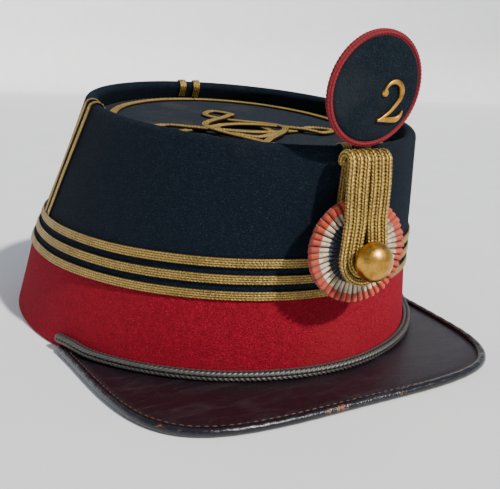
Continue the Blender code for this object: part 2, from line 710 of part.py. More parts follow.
def add_numeral(frame, collection, material, helpers):
    """A plain brass two: a bowl that ends in a ball, a slanting stroke and a foot."""
    shift = np.array(NUMERAL_SHIFT)
    lift = DISC_THICKNESS / 2 + GAP + NUMERAL_THICKNESS / 2
    path = numeral_path()
    along = np.gradient(path, axis=0)
    along /= np.linalg.norm(along, axis=1, keepdims=True)
    side = np.column_stack([-along[:, 1], along[:, 0]])
    weight = np.interp(np.linspace(0, 1, len(path)), [0, 0.3, 0.6, 1], [0.6, 0.7, 1.0, 0.6])[:, None]
    half = side * weight * NUMERAL_STROKE / 2
    outline = np.concatenate([path + half, (path - half)[::-1]])
    stroke = add_outline("numeral_stroke", outline, NUMERAL_THICKNESS / 2, None, frame, helpers)
    foot = [(-0.31, -0.50), (0.38, -0.50), (0.50, -0.22), (0.42, -0.20), (0.32, -0.34), (-0.31, -0.38)]
    foot = np.array(foot) * NUMERAL_HEIGHT
    add_outline("numeral_foot", foot, 0.97 * NUMERAL_THICKNESS / 2, None, frame, helpers)
    ball = path[0] + oval(0.10, 0.10, 14) * NUMERAL_HEIGHT + np.array([0.03, -0.02]) * NUMERAL_HEIGHT
    add_outline("numeral_ball", ball, 0.94 * NUMERAL_THICKNESS / 2, None, frame, helpers)
    bpy.context.view_layer.update()
    graph = bpy.context.evaluated_depsgraph_get()
    solids = []
    for name in ("numeral_stroke", "numeral_foot", "numeral_ball"):
        curve_part = bpy.data.objects[name]
        mesh = bpy.data.meshes.new_from_object(curve_part.evaluated_get(graph))
        cleaned = bmesh.new()
        cleaned.from_mesh(mesh)
        bmesh.ops.remove_doubles(cleaned, verts=cleaned.verts, dist=0.001 * MM)
        cleaned.to_mesh(mesh)
        cleaned.free()
        mesh.materials.clear()
        bpy.data.objects.remove(curve_part)
        solids.append(mesh)
    numeral = link_object("numeral", solids[0], material, frame, collection)
    numeral.location = (*shift, lift)
    for number, mesh in enumerate(solids[1:]):
        helper = link_object(f"numeral_piece_{number + 1}", mesh, None, frame, helpers)
        helper.location = numeral.location
        helper.hide_render = True
        helper.display_type = "WIRE"
        join = numeral.modifiers.new(f"join_{number + 1}", "BOOLEAN")
        join.operation = "UNION"
        join.object = helper


def clear_scene():
    for old in list(bpy.data.objects):
        bpy.data.objects.remove(old)


def build():
    clear_scene()
    kepi = bpy.data.collections.new("kepi_cap")
    helpers = bpy.data.collections.new("helpers")
    for collection in (kepi, helpers):
        bpy.context.scene.collection.children.link(collection)

    root = bpy.data.objects.new("kepi_frame", None)
    kepi.objects.link(root)
    foremost = max(BASE_HALF_LENGTH + PEAK_REACH + PEAK_EDGE_RADIUS, BUTTON_DEPTH - button_back())
    root.location = (0.0, (foremost - BASE_HALF_LENGTH) / 2, 0.0)

    red_cloth = make_material("red_cloth", (0.42, 0.012, 0.020), 0.9)
    blue_cloth = make_material("blue_cloth", (0.010, 0.016, 0.028), 0.9)
    gold_braid = make_material("gold_braid", (0.45, 0.33, 0.15), 0.45, 0.6)
    black_leather = make_material("black_leather", (0.018, 0.013, 0.013), 0.35)
    dark_cord = make_material("dark_cord", (0.05, 0.05, 0.055), 0.5, 0.3)
    pleated_ribbon = make_material("pleated_ribbon", (0.60, 0.10, 0.06), 0.7)
    brass = make_material("brass", (0.55, 0.36, 0.10), 0.3, 1.0)
    red_piping = make_material("red_piping", (0.30, 0.01, 0.03), 0.9)

    add_band(root, kepi, red_cloth)
    add_crown_wall(root, kepi, blue_cloth)
    add_crown_top(root, kepi, blue_cloth)
    add_level_braids(root, kepi, gold_braid)
    add_upright_braids(root, kepi, gold_braid)
    add_top_ring(root, kepi, gold_braid)
    add_top_knot(root, kepi, gold_braid, helpers)

    add_peak(root, kepi, black_leather)
    add_peak_edge(root, kepi, black_leather)
    add_seam_cord(root, kepi, dark_cord)

    add_cockade(root, kepi, pleated_ribbon)
    add_gold_loop(root, kepi, gold_braid)
    add_button(root, kepi, brass)

    disc_frame = bpy.data.objects.new("disc_frame", None)
    disc_frame.parent = root
    kepi.objects.link(disc_frame)
    place_upright(disc_frame, disc_centre()[1], disc_centre()[0], DISC_LEAN, DISC_YAW)
    add_disc(disc_frame, kepi, blue_cloth, red_piping)
    add_disc_stem(root, kepi, black_leather)
    add_numeral(disc_frame, kepi, brass, helpers)


build()
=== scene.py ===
"""A kepi on a pale floor: red band, dark blue crown, gold braid, leather peak and its front dressing."""

import bpy
import numpy as np
from mathutils import Matrix, Vector


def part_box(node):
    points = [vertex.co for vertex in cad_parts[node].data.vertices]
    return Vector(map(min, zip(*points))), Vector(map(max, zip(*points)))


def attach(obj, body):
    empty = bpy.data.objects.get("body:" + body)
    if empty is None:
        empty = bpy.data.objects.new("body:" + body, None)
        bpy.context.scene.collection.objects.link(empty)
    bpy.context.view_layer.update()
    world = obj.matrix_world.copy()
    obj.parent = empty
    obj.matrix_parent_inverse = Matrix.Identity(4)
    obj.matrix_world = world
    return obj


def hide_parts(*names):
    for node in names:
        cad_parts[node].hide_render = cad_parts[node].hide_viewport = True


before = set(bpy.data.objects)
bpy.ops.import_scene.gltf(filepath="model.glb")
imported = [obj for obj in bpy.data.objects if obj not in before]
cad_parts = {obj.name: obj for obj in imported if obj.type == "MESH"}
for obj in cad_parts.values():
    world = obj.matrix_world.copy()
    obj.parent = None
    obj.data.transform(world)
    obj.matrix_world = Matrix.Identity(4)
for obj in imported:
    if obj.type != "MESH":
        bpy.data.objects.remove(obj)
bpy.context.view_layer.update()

MM = 0.001
GAP = 0.3 * MM


# The red band
# A strip of thick red woollen cloth, stretched round a stiff former and sewn into an oval
# that fits the head. Its lower edge is turned in and rests on the table.
BASE_HALF_LENGTH = 102.2 * MM
BASE_HALF_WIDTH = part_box("band")[1].x
CAP_MIDDLE_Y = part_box("band")[1].y - BASE_HALF_LENGTH
FRONT_HEIGHT = 79.1 * MM
BACK_HEIGHT = 98.4 * MM
BAND_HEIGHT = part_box("band")[1].z
CLOTH = 2.4 * MM

# Each row is one cross-section of the cap, as shares of the sizes above.
WALL_SECTIONS = (
    # height, half_length, half_width, forward, slope
    (0.000, 1.000, 1.000, 0.000, 0.0),
    (0.388, 0.948, 0.924, 0.065, 0.0),
    (0.578, 0.907, 0.867, 0.137, 0.0),
    (1.000, 0.731, 0.724, 0.357, 1.0),
)


def section(level):
    """Half length, half width, forward lean and rim slope, straight between the rows."""
    rows = np.array(WALL_SECTIONS).T
    half_length, half_width, forward, slope = (np.interp(level, rows[0], row) for row in rows[1:])
    return (
        half_length * BASE_HALF_LENGTH,
        half_width * BASE_HALF_WIDTH,
        forward * BASE_HALF_LENGTH,
        slope * (BACK_HEIGHT - FRONT_HEIGHT),
    )


def bulge(angle, level):
    """How far the old cloth stands in or out: three slow waves round and up the cap."""
    slow = 0.5 * np.sin(3 * angle + 5 * level + 0.4)
    middle = 0.3 * np.sin(7 * angle - 9 * level + 1.1)
    quick = 0.2 * np.sin(13 * angle + 14 * level)
    return 0.3 * MM * (slow + middle + quick)


def cap_face(angle, level):
    """Ellipse at each level: x is half width times sine, y is minus half length times cosine
    less the lean, and the height grows with the level and with the rim's slope to the back."""
    half_length, half_width, forward, slope = section(level)
    out = bulge(angle, level)
    x = (half_width + out) * np.sin(angle)
    y = CAP_MIDDLE_Y - (half_length + out) * np.cos(angle) - forward
    z = FRONT_HEIGHT * level + slope * (1 - np.cos(angle)) / 2
    return np.stack(np.broadcast_arrays(x, y, z), axis=-1)


def unit(vectors):
    return vectors / np.linalg.norm(vectors, axis=-1, keepdims=True)


def cap_normal(angle, level):
    """The cross product of the face's steps round and up."""
    step = 1e-4
    low, high = np.maximum(level - step, 0.0), np.minimum(level + step, 1.0)
    across = cap_face(angle + step, level) - cap_face(angle - step, level)
    return unit(np.cross(across, cap_face(angle, high) - cap_face(angle, low)))


def off_cap(angle, level, out):
    """The face moved level, so far that it lies this distance out from itself."""
    normal = cap_normal(angle, level)
    normal[..., 2] = 0.0
    level_part = np.sum(normal**2, axis=-1, keepdims=True)
    return cap_face(angle, level) + np.asarray(out)[..., None] * normal / level_part


def surface(name, grid, round_rows=False, round_columns=False, u=None, v=None, caps=False):
    """A mesh of quads on a grid of points. Its UV map, called weave, holds u by column and v by row."""
    rows, columns = grid.shape[:2]
    row_steps = np.arange(rows if round_rows else rows - 1)
    column_steps = np.arange(columns if round_columns else columns - 1)
    i, j = np.meshgrid(row_steps, column_steps, indexing="ij")
    row = np.stack([i, i, i + 1, i + 1], axis=-1).reshape(-1, 4)
    column = np.stack([j, j + 1, j + 1, j], axis=-1).reshape(-1, 4)
    faces = (row % rows) * columns + column % columns
    face_list = faces.tolist()
    if caps:
        face_list += [list(range(columns))[::-1], list(range((rows - 1) * columns, rows * columns))]
    mesh = bpy.data.meshes.new(name)
    mesh.from_pydata(grid.reshape(-1, 3).tolist(), [], face_list)
    u = np.linspace(0, 1, columns + 1) if u is None else np.asarray(u)
    v = np.linspace(0, 1, rows + 1) if v is None else np.asarray(v)
    places = np.zeros((len(mesh.loops), 2))
    places[: row.size, 0] = u[np.minimum(column, len(u) - 1)].ravel()
    places[: row.size, 1] = v[np.minimum(row, len(v) - 1)].ravel()
    mesh.uv_layers.new(name="weave").data.foreach_set("uv", places.ravel())
    mesh.shade_smooth()
    mesh.update()
    piece = bpy.data.objects.new(name, mesh)
    bpy.context.scene.collection.objects.link(piece)
    return piece


def place(piece, material, slot, *nodes):
    """Gives a piece its material and sets it in place of its solids. Its slot is not used."""
    piece.data.materials.append(material)
    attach(piece, "root")
    if nodes:
        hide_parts(*nodes)


class Wired:
    """An output in a material's tree. Sums, differences and products of it add Math nodes."""

    def __init__(self, finish, socket):
        self.finish = finish
        self.socket = socket

    def maths(self, operation, *values):
        return self.finish.node("ShaderNodeMath", {"operation": operation}, dict(enumerate(values)))

    def __add__(self, other):
        return self.maths("ADD", self, other)

    def __sub__(self, other):
        return self.maths("SUBTRACT", self, other)

    def __rsub__(self, other):
        return self.maths("SUBTRACT", other, self)

    def __mul__(self, other):
        return self.maths("MULTIPLY", self, other)

    __radd__ = __add__
    __rmul__ = __mul__

    def between(self, low, high):
        """Rises smoothly from 0 at low to 1 at high."""
        sockets = {"Value": self, "From Min": low, "From Max": high}
        return self.finish.node("ShaderNodeMapRange", {"interpolation_type": "SMOOTHSTEP"}, sockets)


class Finish:
    """One material and its tree of nodes."""

    def __init__(self, name):
        self.material = bpy.data.materials.new(name)
        self.material.use_nodes = True
        self.tree = self.material.node_tree
        self.shader = self.tree.nodes["Principled BSDF"]

    def node(self, kind, settings, sockets, output=0):
        """Adds a node with its settings, then the values or links of its sockets."""
        made = self.tree.nodes.new(kind)
        for key, value in settings.items():
            setattr(made, key, value)
        for key, value in sockets.items():
            self.wire(made.inputs[key], value)
        return Wired(self, made.outputs[output])

    def wire(self, socket, value):
        if isinstance(value, Wired):
            self.tree.links.new(value.socket, socket)
        elif isinstance(value, tuple) and len(value) == 3 and socket.type == "RGBA":
            socket.default_value = (*value, 1.0)
        else:
            socket.default_value = value

    def places(self, stretch=(1.0, 1.0, 1.0)):
        """Object coordinates, stretched to draw a pattern out along an axis."""
        found = self.node("ShaderNodeTexCoord", {}, {}, "Object")
        if stretch == (1.0, 1.0, 1.0):
            return found
        return self.node("ShaderNodeMapping", {}, {"Vector": found, "Scale": stretch})

    def noise(self, size, detail=3.0, roughness=0.55, places=None, distortion=0.0):
        """Noise whose blots are about this many metres across."""
        sockets = {
            "Vector": places or self.places(),
            "Scale": 1.0 / size,
            "Detail": detail,
            "Roughness": roughness,
            "Distortion": distortion,
        }
        return self.node("ShaderNodeTexNoise", {"normalize": True}, sockets, "Fac")

    def colours(self, amount, first, second):
        """A colour between two, by an amount from 0 to 1."""
        settings = {"data_type": "RGBA", "clamp_factor": True}
        return self.node("ShaderNodeMix", settings, {0: amount, 6: first, 7: second}, 2)

    def relief(self, height, depth, strength):
        """A Bump node: height from 0 to 1 stands for a relief this many metres deep."""
        return self.node("ShaderNodeBump", {}, {"Height": height, "Distance": depth, "Strength": strength})

    def set(self, **sockets):
        for key, value in sockets.items():
            self.wire(self.shader.inputs[key.replace("_", " ").title().replace("Ior", "IOR")], value)
        return self.material


def woollen_cloth(name, colour, fibre, dust, dust_amount, sheen):
    """Milled cloth: a matted nap of short fibres, paler where they stand up, with some dust."""
    finish = Finish(name)
    nap = finish.noise(1.9 * MM, 5.0, 0.7)
    fibres = finish.noise(0.7 * MM, 3.0, 0.7, finish.places((1.0, 1.0, 1.8)), 0.6)
    worn = finish.noise(26 * MM, 4.0, 0.6)
    raised = (nap * 0.35 + fibres * 0.65).between(0.36, 0.66)
    shade = finish.colours(raised, tuple(0.60 * c for c in colour), tuple(1.12 * c for c in colour))
    shade = finish.colours(fibres.between(0.55, 0.72) * 0.6, shade, fibre)
    shade = finish.colours(worn.between(0.5, 0.75) * dust_amount, shade, dust)
    return finish.set(
        base_color=shade,
        roughness=0.95,
        sheen_weight=sheen,
        sheen_roughness=0.5,
        sheen_tint=fibre,
        specular_ior_level=0.10,
        normal=finish.relief(nap * 0.5 + fibres * 0.6, 1.3 * MM, 1.0),
    )


red_cloth = woollen_cloth(
    "red_cloth",
    colour=(0.29, 0.0065, 0.021),
    fibre=(0.46, 0.030, 0.050),
    dust=(0.26, 0.020, 0.020),
    dust_amount=0.3,
    sheen=0.30,
)

WALL_STEPS = 300


def around(steps):
    return np.linspace(0.0, 2 * np.pi, steps, endpoint=False)


def wall_shell(name, levels, outs):
    """Rings round the cap, one for each level and distance out from the face."""
    angles = around(WALL_STEPS)
    grid = np.stack([off_cap(angles, level, np.full(WALL_STEPS, out)) for level, out in zip(levels, outs)])
    return surface(name, grid, round_rows=True, round_columns=True)


def turned_edge(height, up):
    """Half a rounded fold at a wall's edge: heights and distances out, from its outer face in."""
    swing = np.linspace(0, np.pi, 9)
    radius = CLOTH / 2
    return height + up * radius * (np.sin(swing) - 1.0), radius * np.cos(swing) - radius


bottom_heights, bottom_outs = turned_edge(0.0, -1)
band_top = BAND_HEIGHT / FRONT_HEIGHT
outer_levels = np.linspace(1.4 * MM / FRONT_HEIGHT, band_top, 22)
inner_levels = outer_levels[::-4]
band_levels = np.concatenate([bottom_heights[::-1] / FRONT_HEIGHT, outer_levels, inner_levels])
band_outs = [bottom_outs[::-1], np.zeros(len(outer_levels)), np.full(len(inner_levels), -CLOTH)]
band = wall_shell("red_band", np.maximum(band_levels, 0.0), np.concatenate(band_outs))
place(band, red_cloth, "band_cloth", "band")


# The blue crown wall
# Dark blue woollen cloth over the same former. It leans forward, rolls over a cord at the
# rim and is sewn down inside to the edge of the sunken top.
RIM_FOLD = 4.4 * MM
TOP_SINK = 7.0 * MM
TOP_THICKNESS = 1.8 * MM

blue_cloth = woollen_cloth(
    "blue_cloth",
    colour=(0.0055, 0.0108, 0.0195),
    fibre=(0.036, 0.056, 0.080),
    dust=(0.018, 0.019, 0.022),
    dust_amount=0.5,
    sheen=0.10,
)


def rim_plane(y):
    """Height of the slanting plane through the rim, straight from front to back."""
    half_length, _, forward, slope = section(1.0)
    return FRONT_HEIGHT + slope * (y - CAP_MIDDLE_Y + forward + half_length) / (2 * half_length)


def outward(angle):
    """The level direction that points straight away from the rim."""
    half_length, half_width, _, _ = section(1.0)
    ways = np.broadcast_arrays(np.sin(angle) / half_width, -np.cos(angle) / half_length, 0.0)
    return unit(np.stack(ways, axis=-1))


def on_rim(angle, turn, out=0.0):
    """Half circle over the rim: turn 0 is the wall's face and turn 1 the inner side."""
    radius = RIM_FOLD / 2
    normal = cap_normal(angle, 1.0)
    centre = cap_face(angle, 1.0) - radius * normal
    start = np.arctan2(normal[..., 2], np.sum(normal * outward(angle), axis=-1))
    swing = (start + np.pi * turn)[..., None]
    direction = np.cos(swing) * outward(angle) + np.sin(swing) * np.array([0.0, 0.0, 1.0])
    return centre + (radius + out) * direction, direction


def inside_rim(angle, level, inset):
    """The wall's face moved straight in."""
    return cap_face(angle, level) - inset * cap_normal(angle, level)


def level_at_depth(angle, depth, inset):
    """The level that lies this far below the rim's plane, found by repeated small steps."""
    level = np.full(np.shape(angle), 0.92)
    for _ in range(10):
        point = inside_rim(angle, level, inset)
        level = level + (rim_plane(point[..., 1]) - depth - point[..., 2]) / (1.3 * FRONT_HEIGHT)
    return level


angles = around(WALL_STEPS)
crown_rings = [cap_face(angles, level) for level in np.linspace(band_top + GAP / FRONT_HEIGHT, 1.0, 34)]
crown_rings += [on_rim(angles, turn)[0] for turn in np.linspace(0.0, 1.0, 12)[1:]]
lip_end = level_at_depth(angles, TOP_SINK + TOP_THICKNESS + GAP, RIM_FOLD)
crown_rings += [inside_rim(angles, 1 + (lip_end - 1) * share, RIM_FOLD) for share in (0.33, 0.66, 1.0)]
inner_end = level_at_depth(angles, TOP_SINK + TOP_THICKNESS + RIM_FOLD, CLOTH)
inner_start = band_top + GAP / FRONT_HEIGHT
for share in (0.0, 0.3, 0.6):
    crown_rings.append(inside_rim(angles, inner_end + (inner_start - inner_end) * share, CLOTH))
crown_rings.append(off_cap(angles, np.full(WALL_STEPS, inner_start), np.full(WALL_STEPS, -CLOTH)))
crown_wall = surface("blue_crown_wall", np.stack(crown_rings), round_rows=True, round_columns=True)
place(crown_wall, blue_cloth, "crown_cloth", "crown_wall")


# The sunken top
# A disc of the same blue cloth on board, a finger's width below the rim, greyed by light
# and dust. A line of small stitches holds its edge to the turned-in wall.
top_cloth = woollen_cloth(
    "top_cloth",
    colour=(0.016, 0.022, 0.032),
    fibre=(0.070, 0.078, 0.088),
    dust=(0.050, 0.048, 0.046),
    dust_amount=0.6,
    sheen=0.25,
)

TOP_MIDDLE = np.array([0.0, CAP_MIDDLE_Y - section(1.0)[2]])


def top_edge(angle, share=1.0):
    """Plan of the sunken top: a share of the way from its middle to the foot of the lip."""
    foot = inside_rim(angle, level_at_depth(angle, TOP_SINK, RIM_FOLD), RIM_FOLD) - GAP * outward(angle)
    return TOP_MIDDLE + np.asarray(share)[..., None] * (foot[..., :2] - TOP_MIDDLE)


TOP_SAG = 1.2 * MM


def on_top(plan, lift=0.0):
    """The sunken surface over a plan point: a slow wave, and a sag that falls off from the
    middle with the square of the distance."""
    wave = 0.15 * MM * np.sin(plan[..., 0] / (21 * MM)) * np.sin(plan[..., 1] / (27 * MM) + 0.8)
    reach = np.sum((plan - TOP_MIDDLE) ** 2, axis=-1) / section(1.0)[1] ** 2
    height = rim_plane(plan[..., 1]) - TOP_SINK + wave - TOP_SAG * np.maximum(0.0, 1.0 - 1.3 * reach) + lift
    return np.concatenate([plan, np.asarray(height)[..., None]], axis=-1)


top_shares = np.concatenate([np.linspace(0.02, 1.0, 30), np.linspace(1.0, 0.02, 8)])
top_lifts = np.concatenate([np.zeros(30), np.full(8, -TOP_THICKNESS)])
top_lifts[28:30] = (-0.15 * MM, -0.5 * MM)
TOP_STEPS = 180
top_angles = around(TOP_STEPS)
top_plans = [top_edge(top_angles, np.full(TOP_STEPS, share)) for share in top_shares]
top_rings = [on_top(plan, lift) for plan, lift in zip(top_plans, top_lifts)]
sunken_top = surface("sunken_top", np.stack(top_rings[::-1]), round_columns=True, caps=True)
place(sunken_top, top_cloth, "crown_cloth", "crown_top")


def smoothstep(value, low, high):
    share = np.clip((value - low) / (high - low), 0.0, 1.0)
    return share * share * (3 - 2 * share)


def sweep(path, up, profile, closed=False):
    """Carries a profile along a path. The profile's x lies across and its y along up; it may
    be one list of points, or one for each point of the path."""
    if closed:
        tangent = unit(np.roll(path, -1, axis=0) - np.roll(path, 1, axis=0))
    else:
        tangent = unit(np.gradient(path, axis=0))
    side = unit(np.cross(up, tangent))
    up = np.cross(tangent, side)
    profile = np.broadcast_to(profile, (len(path), *profile.shape[-2:]))
    return path[:, None] + side[:, None] * profile[..., :1] + up[:, None] * profile[..., 1:]


def length_along(path, closed=False):
    """Distance along a path to each of its points, and once round to the first if it is closed."""
    points = np.concatenate([path, path[:1]]) if closed else path
    return np.concatenate([[0.0], np.cumsum(np.linalg.norm(np.diff(points, axis=0), axis=1))])


def at_lengths(wanted, lengths, rows):
    """Each column of the rows, read off straight between them at the wanted lengths."""
    return np.stack([np.interp(wanted, lengths, column) for column in rows.T], axis=-1)


def even_path(path, spacing, closed=False):
    """The same line with points at equal distances, about this far apart."""
    points = np.concatenate([path, path[:1]]) if closed else path
    lengths = length_along(path, closed)
    count = int(round(lengths[-1] / spacing))
    wanted = np.linspace(0.0, lengths[-1], count, endpoint=not closed)
    return at_lengths(wanted, lengths, points)


STITCH_SPACING = 2.7 * MM
STITCH_LENGTH = 1.5 * MM
STITCH_RADIUS = 0.16 * MM


def stitches(name, starts, along, up, length, radius):
    """Short threads: each bows along its length like half a sine and is round across."""
    across = np.cross(up, along)
    t = np.linspace(0.0, 1.0, 7)
    turn = around(6)
    bow = np.sin(np.pi * t)
    girth = radius * np.maximum(bow, 0.15) ** 0.4
    centre = starts[:, None] + along[:, None] * (t * length)[:, None]
    centre = centre + up[:, None] * (0.4 * bow * radius)[:, None]
    ring_side = across[:, None, None] * (girth[:, None] * np.cos(turn))[..., None]
    ring_up = up[:, None, None] * (girth[:, None] * np.sin(turn))[..., None]
    points = centre[:, :, None] + ring_side + ring_up
    i, j = np.meshgrid(np.arange(6), np.arange(6), indexing="ij")
    quads = np.stack([i * 6 + j, i * 6 + (j + 1) % 6, (i + 1) * 6 + (j + 1) % 6, (i + 1) * 6 + j], axis=-1)
    firsts = (np.arange(len(starts)) * len(t) * len(turn))[:, None, None]
    quads = quads.reshape(-1, 4)[None] + firsts
    ends = np.stack([np.arange(6)[::-1], 36 + np.arange(6)])[None] + firsts
    mesh = bpy.data.meshes.new(name)
    faces = quads.reshape(-1, 4).tolist() + ends.reshape(-1, 6).tolist()
    mesh.from_pydata(points.reshape(-1, 3).tolist(), [], faces)
    mesh.shade_smooth()
    piece = bpy.data.objects.new(name, mesh)
    bpy.context.scene.collection.objects.link(piece)
    return piece


def sewing_thread(name, colour):
    """Waxed thread with a fine twist."""
    finish = Finish(name)
    twist = finish.noise(0.3 * MM, 2.0)
    shade = finish.colours(twist, tuple(0.6 * c for c in colour), colour)
    return finish.set(base_color=shade, roughness=0.7)


seam = on_top(top_edge(around(1440), np.full(1440, 0.972)), 0.02 * MM)
seam = even_path(seam, STITCH_SPACING, closed=True)
seam_along = unit(np.roll(seam, -1, axis=0) - seam)
seam_up = np.tile(unit(np.array([0.0, -0.13, 1.0])), (len(seam), 1))
top_stitches = stitches("top_stitches", seam, seam_along, seam_up, STITCH_LENGTH, STITCH_RADIUS)
place(top_stitches, sewing_thread("blue_thread", (0.07, 0.075, 0.085)), "crown_cloth")


# The level gold braids
# Three flat braids of gilt thread, plaited in lengthwise ribs, and sewn flat round the cap.
# The lowest one covers the seam between the red band and the blue wall.
BRAID_WIDTH = 3.4 * MM
BRAID_THICKNESS = 0.9 * MM
BRAID_SPACING = 5.8 * MM
BRAID_PITCH = 1.25 * MM


def braid_profile(lengths, width, thickness, ribs):
    """Cross-sections of a flat braid: ribs like half sines, each crossed by slanting stitches
    that lean the other way on the next rib, over a flat back."""
    across = np.linspace(-1.0, 1.0, 5 * ribs + 1)
    rib_place = (across + 1) / 2 * ribs
    rib = np.minimum(rib_place.astype(int), ribs - 1)
    within = rib_place - rib
    ridge = np.sin(np.pi * within) ** 0.6
    lean = np.where(rib % 2 == 0, within, 1 - within)
    stitch = 0.5 + 0.5 * np.cos(2 * np.pi * (lengths[:, None] / BRAID_PITCH + 0.8 * lean))
    height = thickness * (0.60 + ridge * (0.16 + 0.24 * stitch))
    crown = 1 - 0.12 * across**2
    top = np.stack(np.broadcast_arrays(across * width / 2, height * crown), axis=-1)
    back = np.array([(-width / 2, 0.0), (width / 2, 0.0)]) * 0.96
    back = np.broadcast_to(back, (len(lengths), 2, 2))
    return np.concatenate([back, top[:, ::-1]], axis=1)


def gilt_thread(name, colour, shadow):
    """Gilt thread wound on yellow silk: bright on the stitches, and painted dark brown in the grooves as
    shade; small specks are painted bright as glints.
    """
    finish = Finish(name)
    place_on = finish.node("ShaderNodeTexCoord", {}, {}, "UV")
    groove = finish.node("ShaderNodeAttribute", {"attribute_name": "groove"}, {}, "Fac")
    strands = finish.node(
        "ShaderNodeTexNoise",
        {"normalize": True},
        {"Vector": place_on, "Scale": 2600.0, "Detail": 3.0, "Roughness": 0.7},
        "Fac",
    )
    tarnish = finish.noise(9 * MM, 4.0, 0.6)
    glint_and_bump_specks = finish.noise(0.45 * MM, 2.0, 0.6)
    shade = finish.colours(tarnish.between(0.40, 0.66) * 0.6, colour, tuple(0.45 * c for c in colour))
    # Painted highlight: small specks are lifted to bright glints.
    shade = finish.colours(glint_and_bump_specks.between(0.48, 0.64) * 0.8, shade, tuple(min(1.0, 2.2 * c) for c in colour))
    # Painted shade: the grooves between the stitches are darkened to the shadow colour.
    shade = finish.colours(groove.between(0.10, 0.95), shadow, shade)
    return finish.set(
        base_color=shade,
        metallic=0.6,
        roughness=0.34 + 0.25 * tarnish,
        normal=finish.relief(strands * 0.5 + glint_and_bump_specks * 0.5, 0.16 * MM, 0.9),
    )


# The second colour is painted shade for the braids' grooves.
gold_braid = gilt_thread("gold_braid", (0.36, 0.235, 0.058), (0.036, 0.022, 0.008))


def note_grooves(piece, depth):
    """Stores how far each point stands out, from 0 in the grooves to 1 on the ridges."""
    attribute = piece.data.attributes.new("groove", "FLOAT", "POINT")
    attribute.data.foreach_set("value", np.clip(depth, 0.0, 1.0).astype(np.float32).ravel())


def flat_braid(name, path, up, width, thickness, ribs, closed=False):
    """A flat braid along a path, its lower face on the path."""
    lengths = length_along(path, closed)
    profile = braid_profile(lengths[: len(path)], width, thickness, ribs)
    grid = sweep(path, up, profile, closed)
    across = np.concatenate([profile[0, :, 0], profile[0, :1, 0]])
    piece = surface(name, grid, round_rows=closed, round_columns=True, u=across, v=lengths, caps=not closed)
    note_grooves(piece, (profile[..., 1] / thickness - 0.5) / 0.42)
    return piece


braid_angles = around(1700)
for row, name in enumerate(("low", "middle", "high")):
    height = BAND_HEIGHT + row * BRAID_SPACING
    level = np.full(len(braid_angles), height / FRONT_HEIGHT)
    path = off_cap(braid_angles, level, np.full(len(braid_angles), GAP / 3))
    normals = cap_normal(braid_angles, level)
    braid = flat_braid(f"gold_braid_{name}", path, normals, BRAID_WIDTH, BRAID_THICKNESS, 4, closed=True)
    place(braid, gold_braid, "gold_braid", f"braid_{name}")


# The upright braids
# Pairs of the same braid up the back, both sides and the front, behind the loop. They start
# at the upper level braid, run over the rolled rim and end inside, at the sunken top.
CROWN_TURN = np.radians(-5.0)
FRONT_PAIR_TURN = np.radians(1.0)
UPRIGHT_SPACING = 7.6 * MM


def upright_path(angle, offset):
    """Up the wall at a fixed distance from the line at an angle, half round the rim and down
    the lip; the second result is the direction away from the cloth."""
    start = (BAND_HEIGHT + 2 * BRAID_SPACING + BRAID_WIDTH / 2 + GAP) / FRONT_HEIGHT
    level = np.linspace(start, 1.0, 160)
    speed = np.linalg.norm(cap_face(angle + 0.01, level) - cap_face(angle - 0.01, level), axis=-1) / 0.02
    turned = angle + offset / speed
    up_wall = off_cap(turned, level, np.full(160, GAP / 3))
    wall_normals = cap_normal(turned, level)
    at_rim = np.full(40, turned[-1])
    over, over_normals = on_rim(at_rim, np.linspace(0.0, 1.0, 40), GAP / 3)
    end = level_at_depth(turned[-1:], TOP_SINK - BRAID_THICKNESS, RIM_FOLD)[0]
    down_level = np.linspace(1.0, end, 16)
    down_angle = np.full(16, turned[-1])
    down = inside_rim(down_angle, down_level, RIM_FOLD + GAP / 3)
    down_normals = -cap_normal(down_angle, down_level)
    path = np.concatenate([up_wall, over[1:], down[1:]])
    normals = np.concatenate([wall_normals, over_normals[1:], down_normals[1:]])
    lengths = length_along(path)
    wanted = np.linspace(0.0, lengths[-1], int(lengths[-1] / (0.25 * MM)))
    both = at_lengths(wanted, lengths, np.concatenate([path, normals], axis=1))
    return both[:, :3], unit(both[:, 3:])


pair_angles = {"front": FRONT_PAIR_TURN}
for side, quarter in (("left", 0.5), ("back", 1.0), ("right", -0.5)):
    pair_angles[side] = quarter * np.pi + CROWN_TURN
for side, angle in pair_angles.items():
    for number, across in ((1, -1), (2, 1)):
        path, up = upright_path(angle, across * UPRIGHT_SPACING / 2)
        braid = flat_braid(f"gold_upright_{side}_{number}", path, up, BRAID_WIDTH, BRAID_THICKNESS, 4)
        place(braid, gold_braid, "gold_braid", f"upright_{side}_{number}")


# The ring and the knot on top
# A braid is sewn round the top in an oval whose ends butt at the back. In the middle a
# narrower braid makes an interlaced knot: a ring and two crossed bands, looped at each end.
RING_SHARE = 0.87
KNOT_REACH = 40.0 * MM
KNOT_RING_RADIUS = 11.5 * MM
KNOT_WIDTH = 2.8 * MM
KNOT_THICKNESS = 1.3 * MM
KNOT_FORWARD = 4.5 * MM
KNOT_ASIDE = 2.0 * MM
KNOT_RING_STEPS = 420
KNOT_LOOP = (
    # out, across, height in braid thicknesses
    (0.57, 0.00, 0.9),
    (0.80, -0.15, 0.3),
    (1.00, 0.00, 0.0),
    (0.80, 0.15, 0.0),
    (0.57, 0.00, 0.0),
)
KNOT_BANDS = (
    # half width of the middle, its height in braid thicknesses
    (0.42, 1.3),
    (0.20, 0.9),
)

BACK_TURN = np.pi + CROWN_TURN
ring_angles = np.linspace(BACK_TURN + 0.004, BACK_TURN + 2 * np.pi - 0.004, 1600)
ring_plan = top_edge(ring_angles, np.full(1600, RING_SHARE))
ring_path = on_top(ring_plan, GAP / 3)
top_up = unit(np.array([0.0, -0.13, 1.0]))
ring = flat_braid("gold_ring", ring_path, np.tile(top_up, (1600, 1)), BRAID_WIDTH, 1.3 * BRAID_THICKNESS, 4)
place(ring, gold_braid, "gold_braid", "top_ring")


